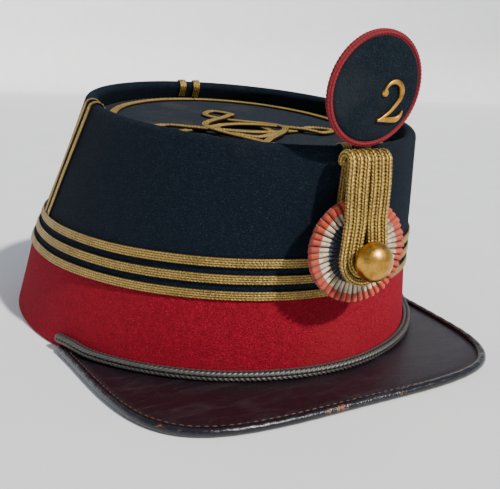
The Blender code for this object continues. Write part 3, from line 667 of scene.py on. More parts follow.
def cubic_spans(p0, p1, p2, p3, steps):
    """Catmull-Rom: cubics from each p1 to its p2, whose slopes there follow p0 and p3."""
    t = np.linspace(0.0, 1.0, steps, endpoint=False)[None, :, None]
    slope = (p2 - p0) * t
    bend = (2 * p0 - 5 * p1 + 4 * p2 - p3) * t**2
    twist = (3 * p1 - p0 - 3 * p2 + p3) * t**3
    return (0.5 * (2 * p1 + slope + bend + twist)).reshape(-1, p0.shape[-1])


def closed_curve(points, steps):
    """A smooth curve through a closed list of points, a cubic for each span."""
    return cubic_spans(*(np.roll(points, shift, axis=0)[:, None] for shift in (1, 0, -1, -2)), steps)


def knot_band(quarter, half_width, middle_height):
    """Points of one band: a loop at each end, and a point at each side of its middle."""
    points = []
    for turn in (quarter * np.pi / 2, (quarter + 2) * np.pi / 2):
        ahead = np.array([np.sin(turn + CROWN_TURN), -np.cos(turn + CROWN_TURN), 0.0])
        aside = np.array([-ahead[1], ahead[0], 0.0])
        up = np.array([0.0, 0.0, KNOT_THICKNESS / KNOT_REACH])
        points += [out * ahead + across * aside + height * up for out, across, height in KNOT_LOOP]
        points.append(-half_width * aside + middle_height * up)
    return KNOT_REACH * np.array(points)


knot_middle = TOP_MIDDLE - np.array([KNOT_ASIDE, KNOT_FORWARD])
for quarter, (half_width, middle_height) in enumerate(KNOT_BANDS):
    band_points = closed_curve(knot_band(quarter, half_width, middle_height), 60)
    band_line = on_top(knot_middle + band_points[:, :2], GAP / 3 + band_points[:, 2])
    band_path = even_path(band_line, 0.25 * MM, closed=True)
    band_up = np.tile(top_up, (len(band_path), 1))
    name = f"gold_knot_band_{quarter + 1}"
    knot_band_piece = flat_braid(name, band_path, band_up, KNOT_WIDTH, KNOT_THICKNESS, 3, closed=True)
    place(knot_band_piece, gold_braid, "gold_braid")

circle_angles = around(KNOT_RING_STEPS)
circle_ways = np.stack([np.sin(circle_angles), -np.cos(circle_angles)], axis=-1)
circle_plan = knot_middle + KNOT_RING_RADIUS * circle_ways
circle_path = on_top(circle_plan, GAP / 3 + 0.2 * KNOT_THICKNESS * (1 - np.cos(4 * circle_angles)))
circle_up = np.tile(top_up, (KNOT_RING_STEPS, 1))
circle = flat_braid("gold_knot_ring", circle_path, circle_up, KNOT_WIDTH, KNOT_THICKNESS, 3, closed=True)
place(circle, gold_braid, "gold_braid", "top_knot")


# The peak
# One piece of thick black leather, almost flat, square in front with rounded corners. A
# rolled leather binding is sewn round its free edge with brown thread, and is rubbed brown.
PEAK_HALF_WIDTH = 73.5 * MM
PEAK_REACH = 23.8 * MM
PEAK_SQUARENESS = 4.6
PEAK_END_ANGLE = np.radians(64.0)
PEAK_THICKNESS = 1.8 * MM
PEAK_EDGE_RADIUS = 1.6 * MM
PEAK_TOP = PEAK_THICKNESS + GAP / 2
EDGE_STITCH_SPACING = 2.5 * MM
EDGE_STITCH_LENGTH = 1.6 * MM
EDGE_STITCH_RADIUS = 0.20 * MM


def peak_outline(steps):
    """Middle of the binding in plan: a superellipse, square by its power, that flares out a
    little to meet the band at its ends."""
    root = -BASE_HALF_LENGTH * np.cos(PEAK_END_ANGLE)
    depth = BASE_HALF_LENGTH + PEAK_REACH + root
    clear = (GAP + PEAK_EDGE_RADIUS) / np.sin(PEAK_END_ANGLE)
    flare = (BASE_HALF_WIDTH * np.sin(PEAK_END_ANGLE) + clear) / PEAK_HALF_WIDTH - 1
    swing = np.linspace(-np.pi / 2, np.pi / 2, 4001)
    power = 2 / PEAK_SQUARENESS
    ahead = np.abs(np.cos(swing)) ** power
    aside = np.sign(swing) * np.abs(np.sin(swing)) ** power
    x = PEAK_HALF_WIDTH * aside * (1 + flare * (1 - ahead) ** 2)
    plan = np.stack([x, CAP_MIDDLE_Y + root - depth * ahead], axis=-1)
    lengths = length_along(plan)
    wanted = np.linspace(0.0, lengths[-1], steps)
    return at_lengths(wanted, lengths, plan)


def black_leather(name, edge_wear, tint=1.0):
    """Waxed leather: fine grain, soft scratches, grey rubbed patches, and brown where an edge
    has lost its black."""
    finish = Finish(name)
    grain = finish.noise(0.55 * MM, 4.0, 0.6)
    pores = finish.node("ShaderNodeTexVoronoi", {}, {"Vector": finish.places(), "Scale": 1100.0}, "Distance")
    scuffs = finish.noise(14 * MM, 5.0, 0.65, finish.places((1.0, 2.4, 1.0)), 0.6)
    scratches = finish.noise(2.2 * MM, 6.0, 0.75, finish.places((0.25, 2.2, 1.0)), 1.2)
    dark = (0.0088 * tint, 0.0030, 0.0066)
    pale = (0.018 * tint, 0.0110, 0.0155)
    shade = finish.colours(scuffs.between(0.45, 0.72), dark, pale)
    shade = finish.colours(scratches.between(0.62, 0.68) * 0.4, shade, (0.10, 0.088, 0.080))
    if edge_wear:
        rubbed = finish.node("ShaderNodeAttribute", {"attribute_name": "rubbed"}, {}, "Fac")
        patches = finish.noise(5.5 * MM, 6.0, 0.75, None, 0.8)
        worn = (patches + 0.20 * rubbed).between(0.79, 0.86)
        shade = finish.colours(worn, shade, (0.20, 0.072, 0.025))
        rough = 0.16 + 0.35 * worn + 0.15 * scuffs
        depth = 0.22 * MM
    else:
        rough = 0.30 + 0.34 * scuffs
        depth = 0.12 * MM
    return finish.set(
        base_color=shade,
        roughness=rough,
        specular_ior_level=0.45,
        coat_weight=0.10,
        coat_roughness=0.30,
        normal=finish.relief(grain * 0.6 + pores * 0.4 + scuffs * 0.8, depth, 0.8),
    )


outline = peak_outline(420)
outline_along = unit(np.gradient(outline, axis=0))
inward = np.stack([-outline_along[:, 1], outline_along[:, 0]], axis=-1)
plate_outer = outline + inward * (0.55 * PEAK_EDGE_RADIUS)
plate_aside = plate_outer[:, 0] / BASE_HALF_WIDTH
plate_ahead = -(plate_outer[:, 1] - CAP_MIDDLE_Y) / BASE_HALF_LENGTH
plate_angle = np.arctan2(plate_aside, plate_ahead)
plate_inner = off_cap(plate_angle, np.full(len(plate_angle), 0.02), np.full(len(plate_angle), GAP / 3))[:, :2]
away = unit(np.stack([np.sin(plate_angle), -np.cos(plate_angle)], axis=-1))
plate_kept = np.sum((plate_outer - plate_inner) * away, axis=1) > 1.0 * MM
plate_outer, plate_inner = plate_outer[plate_kept], plate_inner[plate_kept]
plate_width = np.linalg.norm(plate_outer - plate_inner, axis=1)
plate_share = np.linspace(0.0, 1.0, 26)
plate_rows = []
for share in plate_share:
    plan = plate_outer + (plate_inner - plate_outer) * share
    from_edge = share * plate_width
    dip = -0.45 * MM * np.exp(-(((from_edge - 1.5 * MM) / (0.9 * MM)) ** 2))
    swell = 0.35 * MM * np.sin(np.pi * share) * np.sin(plan[:, 0] / (40 * MM) + 1.2)
    plate_rows.append(np.column_stack([plan, PEAK_TOP + dip + swell]))
for share in plate_share[::-5]:
    plan = plate_outer + (plate_inner - plate_outer) * share
    plate_rows.append(np.column_stack([plan, np.full(len(plan), GAP / 2)]))
peak_grid = np.stack(plate_rows, axis=1)[:, ::-1]
peak = surface("leather_peak", peak_grid, round_columns=True, caps=True)
place(peak, black_leather("peak_leather", False), "peak_leather", "peak")

edge_path = np.column_stack([outline, np.full(len(outline), PEAK_EDGE_RADIUS)])
edge_turn = around(28)
edge_lengths = length_along(edge_path)
pucker = 0.035 * np.sin(edge_lengths[:, None] / (1.1 * MM) + 2 * np.sin(edge_turn)) * np.sin(edge_turn) ** 2
pucker = pucker + 0.03 * np.sin(edge_lengths[:, None] / (7 * MM) + edge_turn)
edge_radius = PEAK_EDGE_RADIUS * (1 + pucker - 0.035 - 0.12 * np.maximum(0, -np.sin(edge_turn)) ** 3)
edge_profile = np.stack([edge_radius * np.cos(edge_turn), edge_radius * np.sin(edge_turn)], axis=-1)
edge_grid = sweep(edge_path, np.tile([0.0, 0.0, 1.0], (len(edge_path), 1)), edge_profile)
edge_grid[..., 2] = np.maximum(edge_grid[..., 2], 0.02 * MM)
peak_edge = surface("leather_binding", edge_grid, round_columns=True, caps=True)
rubbed = peak_edge.data.attributes.new("rubbed", "FLOAT", "POINT")
out_side = np.broadcast_to(np.maximum(0.0, -np.cos(edge_turn + 0.5)), edge_grid.shape[:2])
rubbed.data.foreach_set("value", out_side.astype(np.float32).ravel())
place(peak_edge, black_leather("binding_leather", True, 0.4), "peak_leather", "peak_edge")

sewn = even_path(edge_path, EDGE_STITCH_SPACING)[3:-3]
sewn_along = unit(np.gradient(sewn, axis=0))
sewn_in = np.cross(np.array([0.0, 0.0, 1.0]), sewn_along)
sewn_up = unit(0.75 * sewn_in + np.array([0.0, 0.0, 1.0]))
sewn = sewn + sewn_up * (PEAK_EDGE_RADIUS * 0.97)
edge_stitches = stitches(
    "binding_stitches", sewn, sewn_along, sewn_up, EDGE_STITCH_LENGTH, EDGE_STITCH_RADIUS
)
place(edge_stitches, sewing_thread("brown_thread", (0.115, 0.068, 0.042)), "peak_leather")


# The seam cord
# A plaited cord of dark and silver thread, sewn along the seam where the peak meets the
# band. Its ends are bound off over the two ends of the peak's binding.
SEAM_CORD_RADIUS = 1.9 * MM
SEAM_CORD_PITCH = 1.8 * MM
SEAM_CORD_END_ANGLE = np.radians(67.5)
SEAM_CORD_CLIMB_ANGLE = np.radians(55.0)
SEAM_CORD_STEPS = 1300


def plait(turn, lengths, pitch, columns, slant):
    """Relief of a plaited cord, 0 in the grooves to 1 on the strands: columns of stitches
    run along it, and lean to one side and the other in turn."""
    place_round = np.mod(turn, 2 * np.pi) / (2 * np.pi) * columns
    column = np.floor(place_round).astype(int)
    within = place_round - column
    lean = np.where(column % 2 == 0, within, 1 - within)
    stitch = np.abs(np.sin(np.pi * (lengths[:, None] / pitch + slant * lean)))
    return np.sin(np.pi * within) ** 0.55 * (0.30 + 0.70 * stitch**0.7)


def plaited_cord(name, path, up, radius, pitch, columns, slant, closed=False, relief=0.28):
    """A round cord whose radius follows the plait; an open end tapers to a rounded tip."""
    lengths = length_along(path, closed)
    here = lengths[: len(path)]
    turn = around(8 * columns)
    strands = plait(turn, here, pitch, columns, slant)
    girth = radius * (1 - relief + relief * strands)
    if not closed:
        from_end = np.minimum(here, here[-1] - here)
        girth = girth * np.sqrt(np.clip(from_end / radius, 0.02, 1.0))[:, None]
    profile = np.stack([girth * np.cos(turn), girth * np.sin(turn)], axis=-1)
    grid = sweep(path, up, profile, closed)
    u = np.linspace(0.0, 2 * np.pi * radius, len(turn) + 1)
    cord = surface(name, grid, round_rows=closed, round_columns=True, u=u, v=lengths, caps=not closed)
    note_grooves(cord, strands)
    return cord


def plaited_thread(name, colour, shadow, metallic, roughness):
    """Shiny thread: full colour on the strands, with painted shade where they dive under each other."""
    finish = Finish(name)
    groove = finish.node("ShaderNodeAttribute", {"attribute_name": "groove"}, {}, "Fac")
    fibres = finish.noise(0.35 * MM, 3.0, 0.65)
    uneven = finish.noise(6 * MM, 3.0, 0.6)
    dull, bright = (tuple(share * c for c in colour) for share in (0.7, 1.25))
    shade = finish.colours(fibres.between(0.3, 0.7), dull, bright)
    shade = finish.colours(uneven.between(0.45, 0.7) * 0.4, shade, tuple(0.6 * c for c in colour))
    # Painted shade: the grooves of the plait are darkened to the shadow colour.
    shade = finish.colours(groove.between(0.1, 0.75), shadow, shade)
    return finish.set(
        base_color=shade,
        metallic=metallic,
        roughness=roughness + 0.15 * fibres,
        normal=finish.relief(fibres, 0.08 * MM, 0.7),
    )


cord_angles = np.linspace(-SEAM_CORD_END_ANGLE, SEAM_CORD_END_ANGLE, SEAM_CORD_STEPS)
climb = smoothstep(np.abs(cord_angles), SEAM_CORD_CLIMB_ANGLE, SEAM_CORD_END_ANGLE - 0.06)
cord_heights = PEAK_TOP + GAP / 2 + SEAM_CORD_RADIUS + 1.3 * MM * climb
cord_outs = np.full(SEAM_CORD_STEPS, SEAM_CORD_RADIUS * 0.92)
seam_path = off_cap(cord_angles, cord_heights / FRONT_HEIGHT, cord_outs)
seam_up = cap_normal(cord_angles, cord_heights / FRONT_HEIGHT)
seam_cord = plaited_cord(
    "plaited_seam_cord", seam_path, seam_up, SEAM_CORD_RADIUS, SEAM_CORD_PITCH, 4, 1.8, relief=0.42
)
# The second colour is painted shade for the cord's grooves.
seam_thread = plaited_thread("seam_thread", (0.105, 0.100, 0.092), (0.004, 0.004, 0.005), 0.5, 0.36)
place(seam_cord, seam_thread, "seam_cord", "seam_cord")


# The cockade
# A strip of ribbon, red, white and dark blue along its length, pleated tightly into a disc
# and stitched at the middle. It hangs a finger's breadth in front of the wall on the shank.
COCKADE_RADIUS = 17.0 * MM
COCKADE_THICKNESS = 2.9 * MM
COCKADE_YAW = np.radians(-5.0)
PLEATS = 46
COCKADE_HEIGHT = (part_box("cockade")[0].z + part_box("cockade")[1].z) / 2
COCKADE_BACK = (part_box("cockade")[0].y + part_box("cockade")[1].y) / 2 + COCKADE_THICKNESS / 2


def stand(points, height, y, lean=0.0, yaw=0.0):
    """Stands flat work up: its x stays level, its y points up and its z faces the front."""
    turn = Matrix.Rotation(yaw, 3, "Z") @ Matrix.Rotation(np.pi / 2 + lean, 3, "X")
    return points @ np.array(turn).T + np.array([0.0, y, height])


def uneven_pleats(seed):
    """One number for each pleat, the same on every run, between -1 and 1."""
    pleat = np.arange(PLEATS)
    return np.sin(pleat * (1.7 + 2.9 * seed) + 5.1 * seed) * np.cos(pleat * 4.3 + seed)


pleat_place = np.array([0.0, 0.08, 0.22, 0.5, 0.78, 0.92])
pleat_rise = np.array([0.0, 0.80, 1.0, 0.90, 0.52, 0.20])
pleat_turn = np.arange(PLEATS)[:, None] + pleat_place + 0.10 * uneven_pleats(1)[:, None]
pleat_turn = (pleat_turn / PLEATS * 2 * np.pi).ravel()
rise = (pleat_rise * (1 + 0.15 * uneven_pleats(2)[:, None])).ravel()
reach = (1 + 0.010 * uneven_pleats(3)[:, None] + 0.012 * (pleat_rise - 1)).ravel()
spokes = np.stack([np.cos(pleat_turn), np.sin(pleat_turn)], axis=-1)
ribbon_rows = []
ribbon_v = []
for share, front, depth in (
    (0.10, 0.0, 0.0),
    (0.97, 0.0, 0.0),
    (1.00, 0.3, 0.5),
    (1.00, 1.0, 1.0),
    (0.985, 1.05, 1.0),
    (0.93, 1.04, 1.0),
    (0.86, 1.02, 1.0),
    (0.79, 1.0, 1.0),
    (0.70, 0.98, 1.0),
    (0.62, 0.95, 1.0),
    (0.54, 0.92, 0.9),
    (0.44, 0.88, 0.8),
    (0.32, 0.84, 0.7),
    (0.20, 0.80, 0.4),
    (0.10, 0.75, 0.1),
):
    plan = COCKADE_RADIUS * share * reach[:, None] * spokes
    z = COCKADE_THICKNESS * front - 1.3 * MM * depth * (1 - rise)
    ribbon_rows.append(np.column_stack([plan, np.maximum(z, 0.0 if front == 0.0 else 0.2 * MM)]))
    ribbon_v.append(share)
ribbon_grid = stand(np.stack(ribbon_rows), COCKADE_HEIGHT, COCKADE_BACK, yaw=COCKADE_YAW)
ribbon_u = np.append(np.repeat(np.arange(PLEATS), 6) + np.tile(pleat_place, PLEATS), PLEATS)
ribbon_v.append(ribbon_v[0])
cockade = surface(
    "pleated_cockade", ribbon_grid, round_rows=True, round_columns=True, u=ribbon_u, v=ribbon_v
)
note_grooves(cockade, np.broadcast_to(rise, (len(ribbon_rows), len(rise))))


def pleated_ribbon():
    """Ribbed silk, striped along its length: red outside, white, then dark blue. Dust soils it in
    patches, the low sides of the pleats are painted dark as shade, and the fine ribs run round the disc."""
    finish = Finish("pleated_ribbon")
    along = finish.node("ShaderNodeUVMap", {"uv_map": "weave"}, {})
    split = finish.node("ShaderNodeSeparateXYZ", {}, {0: along}, 1)
    groove = finish.node("ShaderNodeAttribute", {"attribute_name": "groove"}, {}, "Fac")
    wander = finish.noise(1.6 * MM, 2.0)
    soil = finish.noise(5 * MM, 4.0, 0.65)
    radius = split + 0.02 * (wander - 0.5)
    white = finish.colours(soil.between(0.40, 0.66), (0.64, 0.53, 0.36), (0.20, 0.145, 0.10))
    red = finish.colours(soil.between(0.40, 0.75), (0.44, 0.036, 0.003), (0.27, 0.015, 0.003))
    blue = finish.colours(wander.between(0.3, 0.7), (0.006, 0.011, 0.030), (0.014, 0.022, 0.050))
    shade = finish.colours(radius.between(0.625, 0.645), blue, white)
    shade = finish.colours(radius.between(0.822, 0.840), shade, red)
    # Painted shade: the low sides of the pleats are darkened towards reddish brown.
    shade = finish.colours(1 - groove.between(0.10, 0.80), shade, (0.075, 0.026, 0.016))
    rings = {"wave_type": "RINGS", "rings_direction": "Y"}
    ribs = finish.node("ShaderNodeTexWave", rings, {"Vector": finish.places(), "Scale": 900.0}, "Fac")
    return finish.set(
        base_color=shade,
        roughness=0.62,
        sheen_weight=0.2,
        normal=finish.relief(ribs * 0.4 + wander * 0.6, 0.06 * MM, 0.6),
    )


place(cockade, pleated_ribbon(), "cockade_ribbon", "cockade")


# The gold loop
# Three plaited gilt cords, one inside the other, hooked over behind the top of the wall.
# They hang down over the cockade, pass round under the button and go up again.
LOOP_CORD_RADIUS = 1.25 * MM
LOOP_CORD_PITCH = 1.1 * MM
LOOP_CORD_SPACING = 2.7 * MM
LOOP_INNER_RADIUS = 2.5 * MM
LOOP_WAIST_RISE = 12.0 * MM
LOOP_HOOK_DROP = 1.6 * MM
SHANK_HEIGHT = (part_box("button")[0].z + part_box("button")[1].z) / 2
LOOP_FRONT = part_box("loop_cord_outer")[0].y + LOOP_CORD_RADIUS
LOOP_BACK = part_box("loop_cord_outer")[1].y - LOOP_CORD_RADIUS
LOOP_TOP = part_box("loop_cord_outer")[1].z - LOOP_CORD_RADIUS


def open_curve(points, steps):
    """The same cubic spans between the ends of an open list of points."""
    padded = np.concatenate([2 * points[:1] - points[1:2], points, 2 * points[-1:] - points[-2:-1]])
    around_spans = (padded[:-3], padded[1:-2], padded[2:-1], padded[3:])
    curve = cubic_spans(*(each[:, None] for each in around_spans), steps)
    return np.concatenate([curve, points[-1:]])


def loop_side(radius, sway):
    """From the hook's end over its top, down to the waist and out to the loop's own radius."""
    hook = (LOOP_BACK - LOOP_FRONT) / 2
    top = LOOP_TOP - hook
    waist = SHANK_HEIGHT + LOOP_WAIST_RISE
    close = radius - LOOP_INNER_RADIUS + LOOP_CORD_SPACING / 2
    swing = np.linspace(0.0, np.pi, 7)
    over = np.column_stack(
        [np.full(7, close), LOOP_BACK - hook + hook * np.cos(swing), top + hook * np.sin(swing)]
    )
    ends = np.array([(close, LOOP_BACK, top - LOOP_HOOK_DROP)])
    falls = ((0.35, 1.0), (0.7, 0.7), (1.0, 0.2))
    hang = np.array([(close + sway * aside, LOOP_FRONT, top + fall * (waist - top)) for fall, aside in falls])
    flare = np.array([((close + radius) / 2, LOOP_FRONT, (waist + SHANK_HEIGHT) / 2)])
    return np.concatenate([ends, over, hang, flare])


def loop_cord_path(radius):
    """One side, a half circle under the button, and the other side back up."""
    bend = np.linspace(0.0, np.pi, 9)
    heights = SHANK_HEIGHT - radius * np.sin(bend)
    low = np.column_stack([radius * np.cos(bend), np.full(9, LOOP_FRONT), heights])
    left = loop_side(radius, 0.35 * MM)
    right = loop_side(radius, 0.15 * MM)[::-1] * np.array([-1.0, 1.0, 1.0])
    return open_curve(np.concatenate([left, low, right]), 30)


def loop_ups(path):
    """Away from the wall where the cord hangs, and away from the hook's middle on the hook."""
    hook = (LOOP_BACK - LOOP_FRONT) / 2
    centre = path.copy()
    centre[:, 1:] = (LOOP_BACK - hook, LOOP_TOP - hook)
    on_hook = (path[:, 2] > LOOP_TOP - hook) | (path[:, 1] > LOOP_FRONT + 0.5 * hook)
    away = path - centre
    away[path[:, 2] < LOOP_TOP - hook] = (0.0, 1.0, 0.0)
    return np.where(on_hook[:, None], unit(away + 1e-9), np.array([0.0, -1.0, 0.0]))


# The second colour is painted shade for the cords' grooves.
gold_cord = gilt_thread("gold_cord", (0.46, 0.30, 0.070), (0.045, 0.026, 0.008))
for index, name in enumerate(("inner", "middle", "outer")):
    path = even_path(loop_cord_path(LOOP_INNER_RADIUS + index * LOOP_CORD_SPACING), 0.18 * MM)
    girth = LOOP_CORD_RADIUS * 1.05
    cord = plaited_cord(f"gold_loop_{name}", path, loop_ups(path), girth, LOOP_CORD_PITCH, 6, 0.75)
    place(cord, gold_cord, "gold_cord", f"loop_cord_{name}")


# The button
# A hollow ball button stamped from two shells of brass, polished by handling and duller at
# its back. Its shank goes through the loop and the cockade and into the wall.
BUTTON_RADIUS = 6.4 * MM
BUTTON_DEPTH = 8.4 * MM
BUTTON_STEPS = 64
SHANK_RADIUS = 0.6 * MM
BUTTON_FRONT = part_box("button")[0].y
BUTTON_BACK = BUTTON_FRONT + BUTTON_DEPTH
SHANK_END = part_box("button")[1].y


def turned(radii, heights, steps):
    """Work turned about the z axis: a ring for each radius and height."""
    turn = around(steps)
    x = np.outer(radii, np.cos(turn))
    y = np.outer(radii, np.sin(turn))
    return np.stack([x, y, np.repeat(heights[:, None], steps, axis=1)], axis=-1)


widest = 0.4 * BUTTON_DEPTH
front_swing = np.linspace(0.03, np.pi / 2, 26)
back_swing = np.linspace(np.pi / 2, 0.8 * np.pi, 12)[1:]
back_depth = widest / np.cos(0.2 * np.pi)
button_radii = np.concatenate([np.sin(front_swing), np.sin(back_swing)]) * BUTTON_RADIUS
button_heights = np.concatenate(
    [widest + (BUTTON_DEPTH - widest) * np.cos(front_swing), widest + back_depth * np.cos(back_swing)]
)
button_radii = np.append(button_radii, (SHANK_RADIUS, SHANK_RADIUS))
button_heights = np.append(button_heights, (0.0, -(SHANK_END - BUTTON_BACK)))
button_grid = turned(button_radii, button_heights, BUTTON_STEPS)
dents = np.sin(np.pi * np.linspace(0, 1, len(button_radii)))[:, None]
button_grid[..., 2] += 0.05 * MM * np.sin(3 * around(BUTTON_STEPS) + 1.0) * dents
button_grid = stand(button_grid[::-1], SHANK_HEIGHT, BUTTON_BACK)
button = surface("brass_button", button_grid, round_columns=True, caps=True)


def old_brass(name, roughness):
    """Brass with finger marks, a brown bloom and tiny knocks."""
    finish = Finish(name)
    bloom = finish.noise(4.5 * MM, 4.0, 0.6)
    smears = finish.noise(1.4 * MM, 5.0, 0.7, finish.places((1.0, 1.0, 0.5)), 0.8)
    shade = finish.colours(bloom.between(0.42, 0.72), (0.55, 0.295, 0.055), (0.28, 0.130, 0.024))
    shade = finish.colours(smears.between(0.60, 0.78) * 0.4, shade, (0.25, 0.13, 0.04))
    return finish.set(
        base_color=shade,
        metallic=1.0,
        roughness=roughness + 0.18 * smears.between(0.35, 0.75),
        normal=finish.relief(smears * 0.6 + bloom * 0.6, 0.05 * MM, 0.5),
    )


place(button, old_brass("button_brass", 0.26), "brass", "button")


# The upright disc
# A stiff disc of dark felt, covered on both faces, with a plaited red cord sewn round its
# edge. It leans a little forward over the top of the gold loop.
DISC_HALF_WIDTH = 18.1 * MM
DISC_HALF_HEIGHT = 17.4 * MM
DISC_THICKNESS = 2.6 * MM
DISC_LEAN = np.radians(11.8)
DISC_YAW = np.radians(5.0)
PIPING_RADIUS = 1.1 * MM
PIPING_PITCH = 1.15 * MM
PIPING_STEPS = 620
DISC_STEPS = 96
piping_low, piping_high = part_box("disc_piping")
DISC_Y = (piping_low.y + piping_high.y) / 2
DISC_HEIGHT = (piping_low.z + piping_high.z) / 2

disc_turn = around(DISC_STEPS)
disc_rows = []
for share, lift in (
    (0.02, 0.66),
    (0.25, 0.65),
    (0.45, 0.62),
    (0.62, 0.58),
    (0.76, 0.54),
    (0.87, 0.49),
    (0.94, 0.43),
    (0.985, 0.30),
    (1.00, 0.0),
    (0.985, -0.30),
    (0.94, -0.43),
    (0.80, -0.50),
    (0.50, -0.50),
    (0.02, -0.50),
):
    half_width = (DISC_HALF_WIDTH - 1.5 * PIPING_RADIUS) * share
    half_height = (DISC_HALF_HEIGHT - 1.5 * PIPING_RADIUS) * share
    x, y = half_width * np.cos(disc_turn), half_height * np.sin(disc_turn)
    disc_rows.append(np.column_stack([x, y, np.full(DISC_STEPS, lift * DISC_THICKNESS)]))
disc_grid = stand(np.stack(disc_rows[::-1]), DISC_HEIGHT, DISC_Y, DISC_LEAN, DISC_YAW)
disc = surface("felt_disc", disc_grid, round_columns=True, caps=True)
disc_felt = woollen_cloth(
    "disc_felt",
    colour=(0.0070, 0.0135, 0.0210),
    fibre=(0.034, 0.050, 0.068),
    dust=(0.024, 0.028, 0.034),
    dust_amount=0.5,
    sheen=0.12,
)
place(disc, disc_felt, "disc_felt", "disc")

ring_turn = around(PIPING_STEPS)
ring_line = np.column_stack(
    [
        (DISC_HALF_WIDTH - PIPING_RADIUS) * np.cos(ring_turn),
        (DISC_HALF_HEIGHT - PIPING_RADIUS) * np.sin(ring_turn),
        np.zeros(PIPING_STEPS),
    ]
)
disc_front = stand(np.array([[0.0, 0.0, 1.0]]), 0.0, 0.0, DISC_LEAN, DISC_YAW)
ring_line = stand(ring_line, DISC_HEIGHT, DISC_Y, DISC_LEAN, DISC_YAW)
piping_up = np.repeat(disc_front, PIPING_STEPS, axis=0)
piping = plaited_cord(
    "red_piping", ring_line, piping_up, PIPING_RADIUS, PIPING_PITCH, 6, 0.8, closed=True, relief=0.3
)
# The second colour is painted shade for the piping's grooves.
red_thread = plaited_thread("piping_thread", (0.22, 0.003, 0.011), (0.06, 0.0015, 0.004), 0.0, 0.8)
place(piping, red_thread, "disc_piping", "disc_piping")


# The disc's stem
# A plain dark strip of leather, sewn to the disc's back and tucked down between the wall and
# the gold loop. Only its upper end can be seen.
stem = bpy.data.objects.new("dark_stem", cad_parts["disc_stem"].data.copy())
bpy.context.scene.collection.objects.link(stem)
stem.data.materials.clear()
place(stem, black_leather("stem_leather", False), "stem_leather", "disc_stem")


# The numeral
# A plain two cast in brass with a rounded face: a bowl that ends in a ball, a stroke that
# thins as it slants down, and a foot that swells to the right.
NUMERAL_HEIGHT = 12.6 * MM
NUMERAL_THICKNESS = 0.8 * MM
NUMERAL_STROKE = 1.9 * MM
NUMERAL_SHIFT = (5.4 * MM, -3.0 * MM)
BALL_RADIUS = 0.10 * NUMERAL_HEIGHT


def rounded_stroke(path, widths, thickness):
    """A stroke with a low arched face: half an ellipse across, as wide as asked at each point,
    over a flat back."""
    swing = np.linspace(0, np.pi, 11)
    x = -np.cos(swing)[None, :, None] * widths[:, None, None] / 2
    y = (0.25 + 0.75 * np.sin(swing) ** 0.6)[None, :, None] * thickness * np.ones((len(path), 1, 1))
    back = np.stack([widths[:, None] / 2 * np.array([1.0, -1.0]), np.zeros((len(path), 2))], axis=-1)
    profile = np.concatenate([np.concatenate([x, y], axis=-1), back], axis=1)[:, ::-1]
    path = np.column_stack([path, np.zeros(len(path))])
    return sweep(path, np.tile([0.0, 0.0, 1.0], (len(path), 1)), profile)


bowl_swing = np.radians(np.linspace(172, -32, 9))
bowl = np.column_stack([0.285 * np.cos(bowl_swing), 0.285 * np.sin(bowl_swing) + 0.175])
stroke_points = np.concatenate([bowl, [(0.03, -0.235), (-0.16, -0.37), (-0.30, -0.45)]]) * NUMERAL_HEIGHT
stroke_path = open_curve(np.column_stack([stroke_points, np.zeros(len(stroke_points))]), 10)[:, :2]
stroke_widths = np.interp(
    np.linspace(0, 1, len(stroke_path)), [0, 0.15, 0.35, 0.55, 0.75, 1.0], [0.5, 0.55, 0.85, 1.0, 0.7, 0.35]
)
foot_points = np.array(
    [(-0.33, -0.45), (-0.14, -0.44), (0.08, -0.44), (0.27, -0.43), (0.37, -0.35), (0.41, -0.22)]
)
foot_path = open_curve(np.column_stack([foot_points * NUMERAL_HEIGHT, np.zeros(6)]), 10)[:, :2]
foot_widths = np.interp(
    np.linspace(0, 1, len(foot_path)), [0, 0.3, 0.6, 0.85, 1.0], [0.45, 0.85, 0.95, 0.6, 0.25]
)
ball_swing = np.linspace(0, np.pi / 2, 7)
ball_middle = bowl[0] * NUMERAL_HEIGHT + np.array([0.045, -0.02]) * NUMERAL_HEIGHT
ball_heights = 1.1 * NUMERAL_THICKNESS * np.sin(ball_swing)
ball_grid = turned(BALL_RADIUS * (np.cos(ball_swing) + 1e-3), ball_heights, 24)
ball_grid = ball_grid + np.array([*ball_middle, 0.0])
numeral_base = 0.66 * DISC_THICKNESS + 0.05 * MM
numeral_brass = old_brass("numeral_brass", 0.36)
numeral_parts = (
    ("numeral_stroke", rounded_stroke(stroke_path, stroke_widths * NUMERAL_STROKE, NUMERAL_THICKNESS)),
    ("numeral_foot", rounded_stroke(foot_path, foot_widths * NUMERAL_STROKE, NUMERAL_THICKNESS * 0.95)),
    ("numeral_ball", ball_grid),
)
for name, grid in numeral_parts:
    grid = grid + np.array([*NUMERAL_SHIFT, numeral_base])
    part = surface(name, stand(grid, DISC_HEIGHT, DISC_Y, DISC_LEAN, DISC_YAW), round_columns=True, caps=True)
    place(part, numeral_brass, "brass")
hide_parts("numeral")


# The floor, the light and the camera
# A white cloth that curves up into a pale backdrop all round, with the sun from the front,
# above and to the left of the cap, and the camera at the cap's right front.
def white_cloth():
    """Washed cotton: faint creases and a plain weave too fine to see."""
    finish = Finish("white_cloth")
    creases = finish.noise(60 * MM, 4.0, 0.5, None, 0.5)
    shade = finish.colours(creases, (0.82, 0.83, 0.85), (0.91, 0.91, 0.91))
    return finish.set(base_color=shade, roughness=0.9, normal=finish.relief(creases, 3 * MM, 0.25))


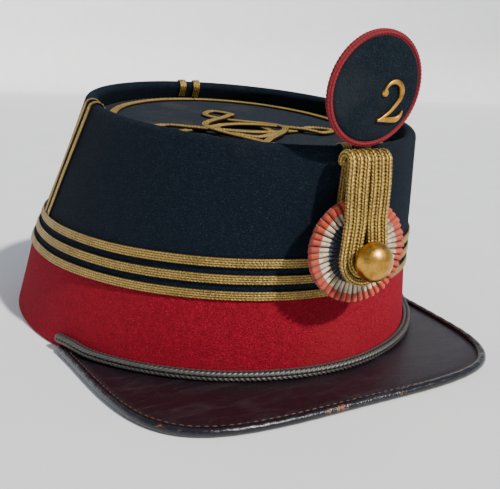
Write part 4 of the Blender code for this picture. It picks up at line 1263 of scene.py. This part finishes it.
FLOOR_RADIUS = 4.0
BEND_RADIUS = 0.4
BACKDROP_HEIGHT = 1.2
SUN_ENERGY = 5.2
SUN_FROM = Vector((0.33, -1.0, 0.90))
SKY_STRENGTH = 0.48

bend = np.linspace(0.0, np.pi / 2, 24)
bend_radii = FLOOR_RADIUS + BEND_RADIUS * np.sin(bend[1:])
bend_heights = BEND_RADIUS * (1 - np.cos(bend[1:]))
floor_radii = np.concatenate([np.linspace(0.0, FLOOR_RADIUS, 24), bend_radii, bend_radii[-1:]])
floor_heights = np.concatenate([np.zeros(24), bend_heights, [BACKDROP_HEIGHT]])
floor = surface("white_floor", turned(floor_radii, floor_heights, 96)[::-1], round_columns=True)
floor.data.materials.append(white_cloth())

sun = bpy.data.lights.new("key_light", "SUN")
sun.energy = SUN_ENERGY
sun.angle = 0.05
sun.color = (1.0, 0.965, 0.91)
sun_object = bpy.data.objects.new("key_light", sun)
sun_object.rotation_euler = SUN_FROM.to_track_quat("Z", "Y").to_euler()
bpy.context.scene.collection.objects.link(sun_object)

world = bpy.data.worlds.new("soft_sky")
world.use_nodes = True
sky = world.node_tree.nodes["Background"]
sky.inputs["Color"].default_value = (0.80, 0.89, 1.0, 1.0)
sky.inputs["Strength"].default_value = SKY_STRENGTH
bpy.context.scene.world = world

CAMERA_PLACE = Vector((-122.92 * MM, -273.66 * MM + CAP_MIDDLE_Y, 100.33 * MM))
CAMERA_RIGHT = Vector((0.8847, -0.4655, 0.0260))
CAMERA_UP = Vector((0.0925, 0.2298, 0.9688))
CAMERA_BACK = Vector((-0.4569, -0.8547, 0.2464))
camera_data = bpy.data.cameras.new("camera")
camera_data.sensor_width = 36.0
camera_data.lens = 46.34
camera_data.clip_start = 0.01
camera = bpy.data.objects.new("camera", camera_data)
turn = Matrix((CAMERA_RIGHT, CAMERA_UP, CAMERA_BACK)).transposed()
camera.matrix_world = Matrix.Translation(CAMERA_PLACE) @ turn.to_4x4()
bpy.context.scene.collection.objects.link(camera)
bpy.context.scene.camera = camera
